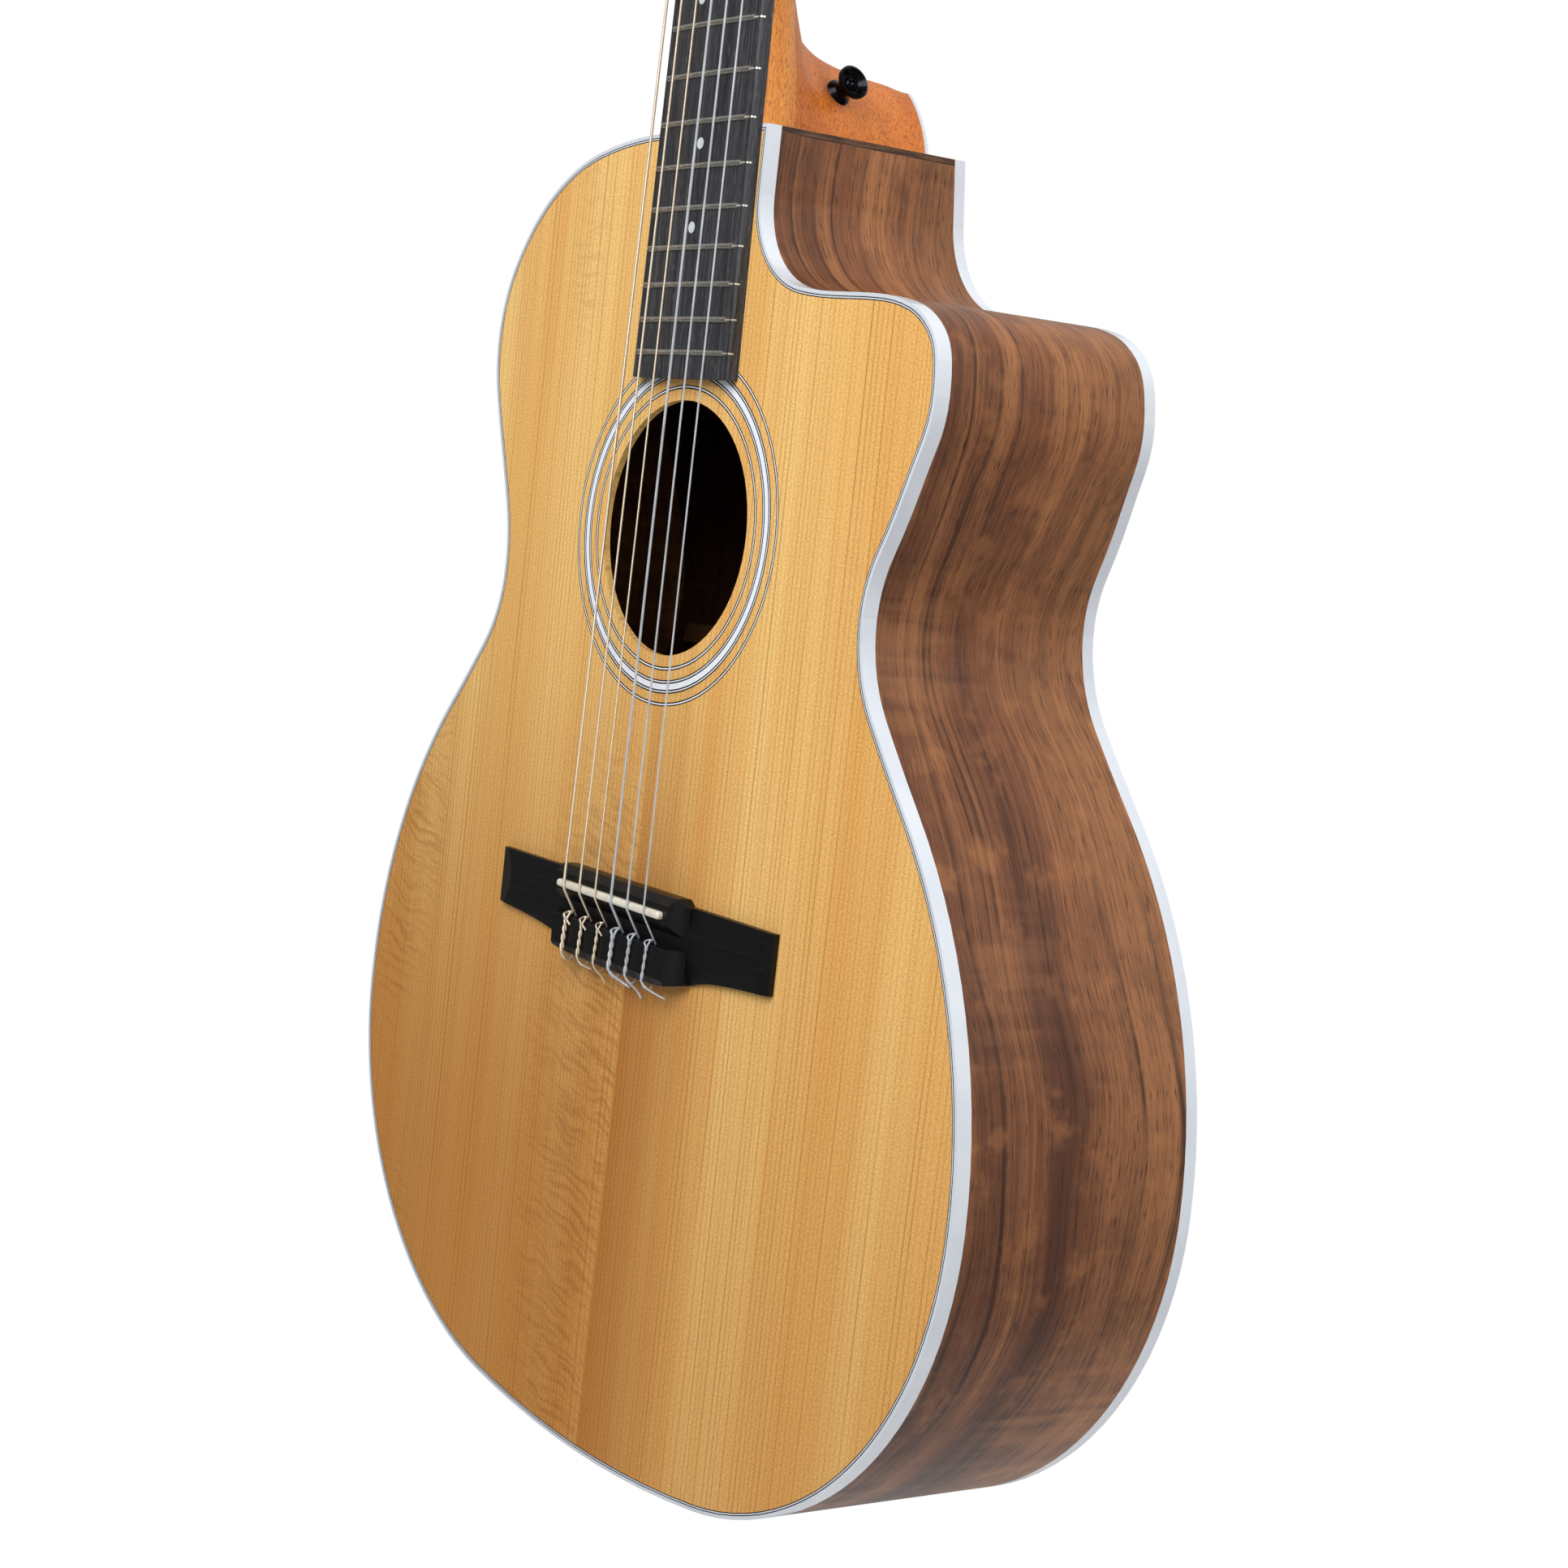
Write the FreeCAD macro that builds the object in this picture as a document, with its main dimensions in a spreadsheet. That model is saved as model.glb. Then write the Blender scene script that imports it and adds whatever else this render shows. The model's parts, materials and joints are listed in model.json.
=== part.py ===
"""Classical guitar with a cutaway, built as separate pieces in one document.

Frame: the origin is on the centre line at the nut, in the plane where the fretboard is glued
(the soundboard's outer face).  +Z runs up the neck to the headstock, -Y is the front, where the
strings are, and +X is the treble side, where the cutaway is.
"""
import FreeCAD, Part
import math
import os
import Sketcher
from FreeCAD import Placement, Rotation, Vector

os.makedirs("parts", exist_ok=True)
doc = FreeCAD.newDocument("ClassicalGuitar")

# ------------------------------------------------------------------ driving dimensions
SIZES = {
    # strings and neck
    "scale_length": 647.7, "nut_width": 47.6, "board_flare": 0.0361, "board_thickness": 5.8,
    "board_length": 453.1, "board_radius": 508.0, "board_edge_round": 1.4, "neck_depth": 16.5,
    "nut_depth": 14.8, "neck_joint": 361.0, "heel_depth": 88.0, "heel_reach": 105.5,
    "heel_top_width": 54.0, "heel_cap_width": 32.0, "heel_cap_thickness": 1.6,
    "fret_crown_width": 2.2, "fret_crown_height": 1.1, "fret_tang_width": 0.6,
    "fret_tang_depth": 1.8, "fret_end_inset": 3.2, "marker_diameter": 4.2, "marker_depth": 1.5,
    "nut_length": 5.0, "nut_height": 8.1, "string_height_nut": 7.7, "string_height_saddle": 12.5,
    "string_spread_nut": 43.6, "string_spread_saddle": 56.8, "string_offset_saddle": -2.3,
    "saddle_station": 649.7,
    # body
    "body_length": 506.5, "lower_half_width": 202.6, "waist_half_width": 121.0,
    "upper_half_width": 145.0, "neck_end_half_width": 34.0, "top_thickness": 2.8,
    "side_thickness": 2.2, "back_thickness": 2.6, "dome_radius": 3000.0, "dome_depth": 112.5,
    "dome_station": 715.0, "binding_width": 1.3, "top_binding_height": 6.0,
    "back_binding_height": 5.0, "purfling_width": 1.2, "purfling_depth": 2.0,
    "lining_width": 6.0, "lining_depth": 14.0, "soundhole_radius": 47.8,
    "soundhole_station": 508.5, "rosette_depth": 1.2, "block_length": 42.0,
    "tail_block_length": 18.0, "tenon_width": 22.0, "tenon_length": 18.0,
    # bridge
    "bridge_half_length": 94.5, "bridge_top_station": 645.0, "bridge_low_station": 677.0,
    "wing_thickness": 4.0, "wing_crown_radius": 55.7, "bridge_height": 9.5,
    "bridge_block_half": 46.0, "bridge_block_offset": -1.6, "bridge_scoop_radius": 6.9,
    "bridge_step_half": 41.0, "saddle_half": 36.2,
    "saddle_thickness": 3.0, "saddle_bottom": 5.0, "saddle_top": 11.9, "tie_hole_height": 5.2,
    # headstock and tuners
    "head_tilt": 15.0, "head_length": 172.0, "head_half_width": 36.0, "head_thickness": 19.0,
    "veneer_thickness": 1.8, "slot_inner": 8.5, "slot_outer": 25.0, "slot_start": 17.0,
    "slot_end": 130.0, "roller_first": 42.0, "roller_pitch": 35.0, "roller_diameter": 10.0,
    "roller_axis_depth": 9.5, "plate_thickness": 1.2, "plate_width": 15.0, "gear_thickness": 4.6,
    "gear_outer_radius": 6.75, "gear_root_radius": 5.0, "gear_teeth": 14.0,
    "worm_offset": 9.3, "worm_core_radius": 2.3, "worm_shaft_radius": 1.5,
    "worm_room_radius": 3.5,
    "button_length": 15.0, "button_width": 14.0, "button_thick": 9.0, "clearance": 0.3,
    # strap buttons
    "strap_head_radius": 6.5, "strap_height": 11.0,
}
sheet = doc.addObject("Spreadsheet::Sheet", "Sizes")
for row, (alias, value) in enumerate(SIZES.items(), start=1):
    sheet.set("A%d" % row, alias)
    sheet.set("B%d" % row, "%g" % value)
    sheet.setAlias("B%d" % row, alias)
doc.recompute()


def size(alias):
    """A driving dimension, read back from the sheet."""
    return float(sheet.get(alias))


NODES = []


def keep(obj, label, placement=None):
    """Register a finished sub-part under its node name."""
    obj.Label = label
    if placement is not None:
        obj.Placement = placement
    NODES.append(obj)
    return obj


def feature(label, shape, placement=None):
    """A sub-part whose shape is made with Part's own functions."""
    obj = doc.addObject("Part::Feature", label)
    obj.Shape = shape
    return keep(obj, label, placement)


def bind(obj, **expressions):
    """Tie properties of an object to cells of the sheet."""
    for name, text in expressions.items():
        obj.setExpression(name.replace("__", "."), text)


def plane_of(body, role):
    return next(o for o in body.Origin.OriginFeatures if o.Role == role)


def new_body(label):
    return doc.addObject("PartDesign::Body", label)


def new_sketch(body, role, name="Sketch"):
    sketch = body.newObject("Sketcher::SketchObject", name)
    sketch.AttachmentSupport = [(plane_of(body, role), "")]
    sketch.MapMode = "FlatFace"
    return sketch


def add_wire(sketch, points):
    """A closed polygon in a sketch, its corners joined."""
    first = sketch.GeometryCount
    count = len(points)
    for k in range(count):
        start = Vector(*points[k], 0)
        end = Vector(*points[(k + 1) % count], 0)
        sketch.addGeometry(Part.LineSegment(start, end), False)
    for k in range(count):
        sketch.addConstraint(Sketcher.Constraint(
            "Coincident", first + k, 2, first + (k + 1) % count, 1))
    return first


def add_circle(sketch, x, y, expression):
    """A circle whose radius is tied to the sheet."""
    index = sketch.addGeometry(Part.Circle(Vector(x, y, 0), Vector(0, 0, 1), 1.0), False)
    sketch.addConstraint(Sketcher.Constraint("Radius", index, 1.0))
    sketch.setExpression("Constraints[%d]" % (sketch.ConstraintCount - 1), expression)
    return index


def add_revolution(body, sketch, axis="H_Axis"):
    turn = body.newObject("PartDesign::Revolution", "Revolution")
    turn.Profile = sketch
    turn.ReferenceAxis = (sketch, [axis])
    turn.Angle = 360
    body.Tip = turn
    doc.recompute()
    return turn


def box(x0, x1, y0, y1, z0, z1):
    return Part.makeBox(x1 - x0, y1 - y0, z1 - z0, Vector(x0, y0, z0))


def rod(start, end, radius):
    """A cylinder from one point to another."""
    start, end = Vector(*start), Vector(*end)
    return Part.makeCylinder(radius, (end - start).Length, start, end - start)


def polygon_face(points):
    return Part.Face(Part.makePolygon([Vector(*p) for p in list(points) + [points[0]]]))


# ------------------------------------------------------------------ body outline
BODY_TOP = -size("neck_joint")
BODY_END = BODY_TOP - size("body_length")
NECK_END = size("neck_end_half_width")
LOWER = size("lower_half_width")
WAIST = size("waist_half_width")
UPPER = size("upper_half_width")

# Each knot is a point (x, z) of the outline and the direction of the outline there.
LOWER_KNOTS = [
    ((0.0, BODY_END), (1, 0)),
    ((0.743 * LOWER, BODY_END + 38.0), (0.777, 0.629)),
    ((LOWER, BODY_END + 145.5), (0, 1)),
    ((0.766 * LOWER, BODY_END + 274.5), (-0.645, 0.764)),
    ((WAIST, BODY_END + 336.5), (0, 1)),
]
BASS_KNOTS = LOWER_KNOTS + [
    ((WAIST + 13.5, BODY_END + 386.0), (0.375, 0.927)),
    ((UPPER, BODY_END + 426.5), (0, 1)),
    ((UPPER - 28.0, BODY_END + 482.2), (-0.761, 0.649)),
    ((NECK_END, BODY_TOP), (-1, 0)),
]
TREBLE_KNOTS = LOWER_KNOTS + [
    ((WAIST + 15.0, BODY_END + 379.5), (0.36, 0.933)),
    ((UPPER + 1.0, BODY_END + 412.0), (0, 1)),
    ((UPPER - 5.6, BODY_END + 434.5), (-0.69, 0.724)),
    ((UPPER - 31.6, BODY_END + 445.2), (-1, 0.09)),
    ((NECK_END + 49.5, BODY_END + 446.4), (-1, 0.03)),
    ((NECK_END + 12.9, BODY_END + 455.4), (-0.80, 0.60)),
    ((NECK_END, BODY_END + 481.5), (0, 1)),
    ((NECK_END, BODY_TOP), (0, 1)),
]


def unit(direction):
    length = math.hypot(*direction)
    return direction[0] / length, direction[1] / length


def tangent_arc(start, direction, end):
    """The arc that leaves start along direction and reaches end; a line if they agree."""
    dx, dz = end[0] - start[0], end[1] - start[1]
    nx, nz = -direction[1], direction[0]
    side = nx * dx + nz * dz
    if abs(side) < 1e-6:
        return Part.makeLine(Vector(start[0], 0, start[1]), Vector(end[0], 0, end[1]))
    radius = (dx * dx + dz * dz) / (2 * side)
    centre = Vector(start[0] + nx * radius, 0, start[1] + nz * radius)
    # the middle of the arc lies on the side of the chord away from the centre
    middle = Vector((start[0] + end[0]) / 2, 0, (start[1] + end[1]) / 2) - centre
    if dx * direction[0] + dz * direction[1] < 0:
        middle = -middle
    middle = centre + middle.normalize() * abs(radius)
    return Part.Arc(Vector(start[0], 0, start[1]), middle, Vector(end[0], 0, end[1])).toShape()


def joined_arcs(start, start_dir, end, end_dir):
    """Two arcs, tangent to each other and to the outline at both ends."""
    (ax, az), (bx, bz) = unit(start_dir), unit(end_dir)
    vx, vz = end[0] - start[0], end[1] - start[1]
    if abs(vx * az - vz * ax) < 1e-6:
        return [tangent_arc(start, (ax, az), end)]
    along = vx * (ax + bx) + vz * (az + bz)
    spread = 2 * (1 - ax * bx - az * bz)
    reach = (-along + math.sqrt(along * along + spread * (vx * vx + vz * vz))) / spread
    joint = ((start[0] + end[0] + reach * (ax - bx)) / 2,
             (start[1] + end[1] + reach * (az - bz)) / 2)
    return [tangent_arc(start, (ax, az), joint), tangent_arc(end, (-bx, -bz), joint)]


def outline_edges(knots, mirror=1):
    edges = []
    for (start, start_dir), (end, end_dir) in zip(knots, knots[1:]):
        edges += joined_arcs((mirror * start[0], start[1]), (mirror * start_dir[0], start_dir[1]),
                             (mirror * end[0], end[1]), (mirror * end_dir[0], end_dir[1]))
    return edges


def outline_wire():
    top = Part.makeLine(Vector(NECK_END, 0, BODY_TOP), Vector(-NECK_END, 0, BODY_TOP))
    edges = outline_edges(TREBLE_KNOTS) + [top] + outline_edges(BASS_KNOTS, -1)
    return Part.Wire(Part.__sortEdges__(edges))


OUTLINE = outline_wire()
FULL_AREA = Part.Face(OUTLINE).Area


def inset_face(inset):
    """The body outline, moved inwards by a constant distance."""
    if inset == 0:
        return Part.Face(OUTLINE)
    for sign in (-1, 1):
        face = Part.Face(OUTLINE.makeOffset2D(sign * inset, 2))
        if face.Area < FULL_AREA:
            return face
    raise RuntimeError("the outline can't be moved in by %g" % inset)


def prism(inset, y0, y1):
    face = inset_face(inset)
    face.translate(Vector(0, y0, 0))
    return face.extrude(Vector(0, y1 - y0, 0))


DEEP = size("dome_depth") + 20


def ball(depth):
    """Everything on the front side of the domed back, less a depth measured from its face."""
    radius = size("dome_radius")
    centre = Vector(0, size("dome_depth") - radius, -size("dome_station"))
    return Part.makeSphere(radius - depth, centre)


TOP = size("top_thickness")
SIDE = size("side_thickness")
BACK = size("back_thickness")
BIND = size("binding_width")
PURFLING = BIND + size("purfling_width")
LINING = SIDE + size("lining_width")
HOLE_Z = -size("soundhole_station")
UNDER_BACK = ball(BACK)


def ring_y(radius, y0, y1, z=HOLE_Z):
    """A disc with its axis along Y, on the soundhole's centre."""
    return Part.makeCylinder(radius, y1 - y0, Vector(0, y0, z), Vector(0, 1, 0))


ROSETTE = [(52.7, 1.5), (59.5, 6.6), (66.1, 1.5)]     # middle radius and width of each ring


def rosette_rings():
    depth = size("rosette_depth")
    rings = []
    for radius, width in ROSETTE:
        outer = ring_y(radius + width / 2, 0, depth)
        rings.append(outer.cut(ring_y(radius - width / 2, 0, depth)))
    return Part.makeCompound(rings)


# ------------------------------------------------------------------ body pieces
def make_soundboard(rosette):
    board = prism(PURFLING, 0, TOP).fuse(prism(BIND, size("purfling_depth"), TOP))
    board = board.cut(ring_y(size("soundhole_radius"), -1, TOP + 1))
    return board.cut(rosette).removeSplitter()


def tenon_box(gap=0.0):
    half = size("tenon_width") / 2 + gap
    return box(-half, half, size("neck_depth") - gap, size("heel_depth") - 14 + gap,
               BODY_TOP - size("tenon_length") - gap, BODY_TOP + 1)


def make_sides():
    """The two bent sides; the bass one runs on across the neck end of the body."""
    wall = prism(0, size("top_binding_height"), DEEP).common(ball(size("back_binding_height")))
    wall = wall.fuse(prism(BIND, TOP, DEEP).common(UNDER_BACK))
    wall = wall.cut(prism(SIDE, -1, DEEP + 1)).cut(tenon_box(0.1))
    treble_half = box(0, 300, -5, DEEP + 5, BODY_END - 5, BODY_TOP - SIDE)
    return wall.cut(treble_half).removeSplitter(), wall.common(treble_half).removeSplitter()


def make_blocks():
    """The neck block, with the mortise for the heel's tenon, and the tail block."""
    room = prism(SIDE, TOP, DEEP).common(UNDER_BACK)
    neck_block = room.common(box(-44, NECK_END - SIDE, 0, DEEP,
                                 BODY_TOP - SIDE - size("block_length"), BODY_TOP))
    tail_block = room.common(box(-35, 35, 0, DEEP, BODY_END,
                                 BODY_END + SIDE + size("tail_block_length")))
    return neck_block.cut(tenon_box(0.1)), tail_block


def make_linings(blocks):
    depth = size("lining_depth")
    top = prism(SIDE, TOP, TOP + depth).cut(prism(LINING, 0, DEEP))
    back = prism(SIDE, TOP, DEEP).common(UNDER_BACK).cut(ball(BACK + depth))
    back = back.cut(prism(LINING, -1, DEEP + 1))
    for block in blocks:
        top = top.cut(block)
        back = back.cut(block)
    return top, back


def make_bindings():
    top = prism(0, 0, size("top_binding_height")).cut(prism(BIND, -1, DEEP))
    back = prism(0, 0, DEEP).common(ball(0)).cut(ball(size("back_binding_height")))
    purfling = prism(BIND, 0, size("purfling_depth")).cut(prism(PURFLING, -1, DEEP))
    return top, back.cut(prism(BIND, -1, DEEP + 1)), purfling


def make_back_plate():
    return prism(BIND, 0, DEEP).common(ball(0)).cut(UNDER_BACK)


def slanted_bar(x, z, length, angle, width, height):
    """A bar glued under the soundboard, centred on x, z and turned from the X axis."""
    bar = Part.makeBox(length, height, width, Vector(-length / 2, 0, -width / 2))
    bar.Placement = Placement(Vector(x, TOP, z), Rotation(Vector(0, 1, 0), angle))
    return bar


def make_top_braces(patch):
    """Two bars across the top and a fan of seven struts below the soundhole."""
    bars = [slanted_bar(0, HOLE_Z + 72, 400, 0, 6, 16), slanted_bar(0, HOLE_Z - 66, 400, 0, 6, 16)]
    for k in range(-3, 4):
        angle = 90 + 4.5 * k
        bars.append(slanted_bar(28 * k, HOLE_Z - 172 + 3 * abs(k), 190 - 8 * abs(k), angle, 5, 5))
    room = prism(LINING, TOP, DEEP)
    pieces = [bar.common(room).cut(patch) for bar in bars]
    return Part.makeCompound(pieces)


def make_back_braces():
    """Four bars across the back, their glued face following its dome."""
    room = prism(LINING, TOP, DEEP).common(UNDER_BACK).cut(ball(BACK + 13))
    stations = [HOLE_Z + 80, HOLE_Z - 45, HOLE_Z - 170, HOLE_Z - 290]
    return Part.makeCompound([room.common(box(-300, 300, 0, DEEP, z - 4, z + 4)) for z in stations])


rosette = rosette_rings()
patch_shape = box(-92, 92, TOP, TOP + 1.6, -size("bridge_low_station") - 3,
                  -size("bridge_top_station") + 3)
feature("soundboard", make_soundboard(rosette))
feature("back_plate", make_back_plate())
side_bass, side_treble = make_sides()
feature("side_bass", side_bass)
feature("side_treble", side_treble)
neck_block, tail_block = make_blocks()
feature("neck_block", neck_block)
feature("tail_block", tail_block)
lining_top, lining_back = make_linings([neck_block, tail_block, tenon_box(0.1)])
feature("lining_top", lining_top)
feature("lining_back", lining_back)
binding_top, binding_back, purfling = make_bindings()
feature("binding_top", binding_top)
feature("binding_back", binding_back)
feature("purfling", purfling)
feature("rosette_rings", rosette)
feature("top_braces", make_top_braces(patch_shape))
feature("back_braces", make_back_braces())


def make_bridge_patch():
    """The thin plate inside the top, under the bridge."""
    plate = doc.addObject("Part::Box", "BridgePatch")
    bind(plate, Length="184 mm", Width="1.6 mm",
         Height="(Sizes.bridge_low_station - Sizes.bridge_top_station + 6) * 1 mm")
    place = Placement(Vector(-92, TOP, -size("bridge_low_station") - 3), Rotation())
    return keep(plate, "bridge_patch", place)


make_bridge_patch()


# ------------------------------------------------------------------ neck and heel
HEEL = -size("neck_joint")
GLUE_Y = size("neck_depth")


# depth of the heel below the fretboard plane, how far its nose reaches up the neck, and how
# hollow its flanks run into the nose (0.5 is round, 1 is straight, more is hollow)
HEEL_PROFILE = [(GLUE_Y, -HEEL - size("heel_reach"), 1.15), (18.5, 268, 1.15), (21.0, 281, 1.15),
                (23.5, 293, 1.13), (25.9, 303.5, 1.1), (28.2, 312.6, 1.05), (31.0, 319.7, 1.0),
                (34.5, 323.6, 0.92), (39.2, 326.8, 0.83), (46.0, 329.3, 0.78), (56.0, 331.2, 0.79),
                (66.0, 332.4, 0.82), (77.0, 333.3, 0.87), (size("heel_depth"), 334.1, 0.87)]
HEEL_FULLNESS = 1.52


def half_width(z):
    """Half the width of the fretboard and of the neck under it."""
    return (size("nut_width") - size("board_flare") * z) / 2


def heel_half(z):
    """Half the width of the neck where the heel block is glued on."""
    share = (z - HEEL) / size("heel_reach")
    if share >= 1:
        return 0.0
    return size("heel_top_width") / 2 * (1 - share ** HEEL_FULLNESS) ** HEEL_PROFILE[0][2]


def neck_section(z, depth, power=2.0, width=None, placement=None):
    """A closed section: flat under the fretboard and round behind."""
    half = width or half_width(z)
    points = []
    for k in range(17):
        turn = math.pi * k / 16
        x = math.copysign(abs(math.cos(turn)) ** (2 / power), math.cos(turn)) * half
        points.append(Vector(x, depth * math.sin(turn) ** (2 / power), z))
    curve = Part.BSplineCurve()
    curve.interpolate(points)
    wire = Part.Wire([curve.toShape(), Part.makeLine(points[-1], points[0])])
    if placement is not None:
        wire = wire.transformGeometry(placement.toMatrix())
    return wire


def neck_back_depth(z):
    """Depth of the neck's round back, deeper where the heel block cuts it off."""
    if z > HEEL + size("heel_reach"):
        run = min(1.0, -z / 240.0)
        return size("nut_depth") + (GLUE_Y - size("nut_depth")) * max(0.0, run)
    return GLUE_Y / math.sqrt(1 - (heel_half(z) / half_width(z)) ** 2)


HEAD = Placement(Vector(0, 1.0, size("nut_length")), Rotation(Vector(1, 0, 0), -size("head_tilt")))
HEAD_HALF = size("head_half_width")
HEAD_LENGTH = size("head_length")


def head_face(half=HEAD_HALF):
    """The outline of the headstock in its own plane: shoulders, straight sides, arched crown."""
    neck_half = half_width(0)
    def arc(start, middle, end):
        return Part.Arc(*[Vector(x, 0, z) for x, z in (start, middle, end)]).toShape()
    def line(start, end):
        return Part.makeLine(Vector(start[0], 0, start[1]), Vector(end[0], 0, end[1]))
    edges = [line((-neck_half, 0), (neck_half, 0)), line((-half, 14), (-half, HEAD_LENGTH - 16)),
             line((half, 14), (half, HEAD_LENGTH - 16))]
    for side in (-1, 1):
        edges.append(arc((side * neck_half, 0), (side * (half - 3.0), 5.2), (side * half, 14)))
        edges.append(arc((side * half, HEAD_LENGTH - 16), (side * (half - 3.4), HEAD_LENGTH - 7.6),
                         (side * (half - 12), HEAD_LENGTH - 5)))
    edges.append(arc((-half + 12, HEAD_LENGTH - 5), (0, HEAD_LENGTH), (half - 12, HEAD_LENGTH - 5)))
    return Part.Face(Part.Wire(Part.__sortEdges__(edges)))


def head_slots(y0, y1):
    """The two long openings of the headstock, round at both ends."""
    inner, outer = size("slot_inner"), size("slot_outer")
    start, end = size("slot_start"), size("slot_end")
    corner = 4.0
    slots = []
    for side in (-1, 1):
        low, high = sorted((side * inner, side * outer))
        slot = box(low, high, y0, y1, start, end)
        upright = [e for e in slot.Edges if abs(e.Vertexes[0].Y - e.Vertexes[1].Y) > 1]
        slots.append(slot.makeFillet(corner, upright))
    return slots


ROLLER_STATIONS = [size("roller_first") + k * size("roller_pitch") for k in range(3)]
AXIS_DEPTH = size("roller_axis_depth")
GAP = size("clearance")
JOURNAL = 3.0
NECK_JOURNAL = 4.0


def make_neck():
    """Neck shaft and slotted headstock, cut level where the heel block is glued on."""
    stations = [size("nut_length"), -30, -120, -200, HEEL + size("heel_reach") + 2]
    stations += [HEEL + size("heel_reach") * part for part in (0.93, 0.8, 0.62, 0.44, 0.24, 0.0)]
    shaft = Part.makeLoft([neck_section(z, neck_back_depth(z)) for z in stations], True, False)
    shaft = shaft.common(box(-50, 50, 0, GLUE_Y, HEEL, size("nut_length")))
    head = head_face().extrude(Vector(0, size("head_thickness"), 0))
    head.Placement = HEAD
    lower = neck_section(-38, neck_back_depth(-38))
    upper = neck_section(13, size("head_thickness"), 4.0, HEAD_HALF - 4, HEAD)
    hump = Part.makeLoft([lower, upper], True, True)
    blank = shaft.fuse(head).fuse(hump)
    cuts = head_slots(-2, size("head_thickness") + 2)
    for station in ROLLER_STATIONS:
        for side in (-1, 1):
            cuts.append(rod((side * 3.0, AXIS_DEPTH, station),
                            (side * size("slot_inner"), AXIS_DEPTH, station), JOURNAL + GAP))
            cuts.append(rod((side * size("slot_outer"), AXIS_DEPTH, station),
                            (side * (HEAD_HALF + 1), AXIS_DEPTH, station), NECK_JOURNAL + GAP))
    for side in (-1, 1):
        for station in screw_stations():
            cuts.append(rod((side * (HEAD_HALF - 9), AXIS_DEPTH, station),
                            (side * (HEAD_HALF + 1), AXIS_DEPTH, station), 1.2))
    for cut in cuts:
        cut.Placement = HEAD.multiply(cut.Placement)
    return blank.cut(cuts).removeSplitter()


def screw_stations():
    """Where each tuner plate is screwed down: at its ends and between the tuners."""
    first, pitch = size("roller_first"), size("roller_pitch")
    return [first - 11, first + 20.7, first + pitch + 20.7, first + 2 * pitch + 20.7]


def heel_section(y, nose, hollow):
    """A level section of the heel: wide at the body and drawn to a soft point."""
    share = (y - GLUE_Y) / (size("heel_depth") - GLUE_Y)
    ease = 1 - (1 - share) ** 1.57
    width = size("heel_top_width") + (size("heel_cap_width") - size("heel_top_width")) * ease
    right = []
    for k in range(9):
        along = math.sin(math.pi / 2 * k / 8)
        x = width / 2 * (1 - along ** HEEL_FULLNESS) ** hollow
        right.append((x, HEEL + along * (-nose - HEEL)))
    points = [Vector(x, y, z) for x, z in right] + [Vector(-x, y, z) for x, z in right[-2::-1]]
    curve = Part.BSplineCurve()
    curve.interpolate(points)
    return Part.Wire([curve.toShape(), Part.makeLine(points[-1], points[0])])


def make_heel():
    """The heel block with its tenon, and the thin cap on its end."""
    sections = [heel_section(*station) for station in HEEL_PROFILE]
    block = Part.makeLoft(sections, True, False).cut(box(-60, 60, 0, GLUE_Y, HEEL - 5, 0))
    cap_y = size("heel_depth") - size("heel_cap_thickness")
    split = box(-60, 60, cap_y, size("heel_depth") + 5, HEEL - 5, 0)
    cap = block.common(split)
    block = block.cut(split).fuse(tenon_box().common(box(-60, 60, 0, DEEP, HEEL - 50, HEEL)))
    return block, cap


feature("neck", make_neck())
heel, heel_cap = make_heel()
BUTTON_SPOT = Vector(0, 44.0, -341.7)


# ------------------------------------------------------------------ fretboard, frets, markers
BOARD = size("board_thickness")
BOARD_AXIS = Vector(0, size("board_radius") - BOARD, 0)
FRETS = 20


def fret_station(number):
    return -size("scale_length") * (1 - 2 ** (-number / 12))


def make_fretboard_blank():
    length = size("board_length")
    plan = polygon_face([(-half_width(0), 0, 0), (half_width(0), 0, 0),
                         (half_width(-length), 0, -length), (-half_width(-length), 0, -length)])
    blank = plan.extrude(Vector(0, -BOARD - 1, 0))
    crown = Part.makeCylinder(size("board_radius"), length + 2, BOARD_AXIS + Vector(0, 0, -length - 1))
    blank = blank.common(crown)
    long_edges = []
    for edge in blank.Edges:
        a, b = edge.Vertexes[0].Point, edge.Vertexes[-1].Point
        if abs(a.z - b.z) > length - 5 and a.y < -1 and b.y < -1:
            long_edges.append(edge)
    return blank.makeFillet(size("board_edge_round"), long_edges)


def swept_over_board(profile, half):
    """A small profile in the centre plane, turned about the board's crown to both sides."""
    angle = math.degrees(half / size("board_radius"))
    profile.rotate(BOARD_AXIS, Vector(0, 0, 1), -angle)
    return profile.revolve(BOARD_AXIS, Vector(0, 0, 1), 2 * angle)


def fret_crown(z):
    half, height = size("fret_crown_width") / 2, size("fret_crown_height")
    arc = Part.Arc(Vector(0, -BOARD, z - half), Vector(0, -BOARD - height, z),
                   Vector(0, -BOARD, z + half)).toShape()
    base = Part.makeLine(Vector(0, -BOARD, z + half), Vector(0, -BOARD, z - half))
    return Part.Face(Part.Wire([arc, base]))


def fret_tang(z):
    half, depth = size("fret_tang_width") / 2, size("fret_tang_depth")
    return polygon_face([(0, -BOARD - 0.5, z - half), (0, -BOARD - 0.5, z + half),
                         (0, -BOARD + depth, z + half), (0, -BOARD + depth, z - half)])


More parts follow.
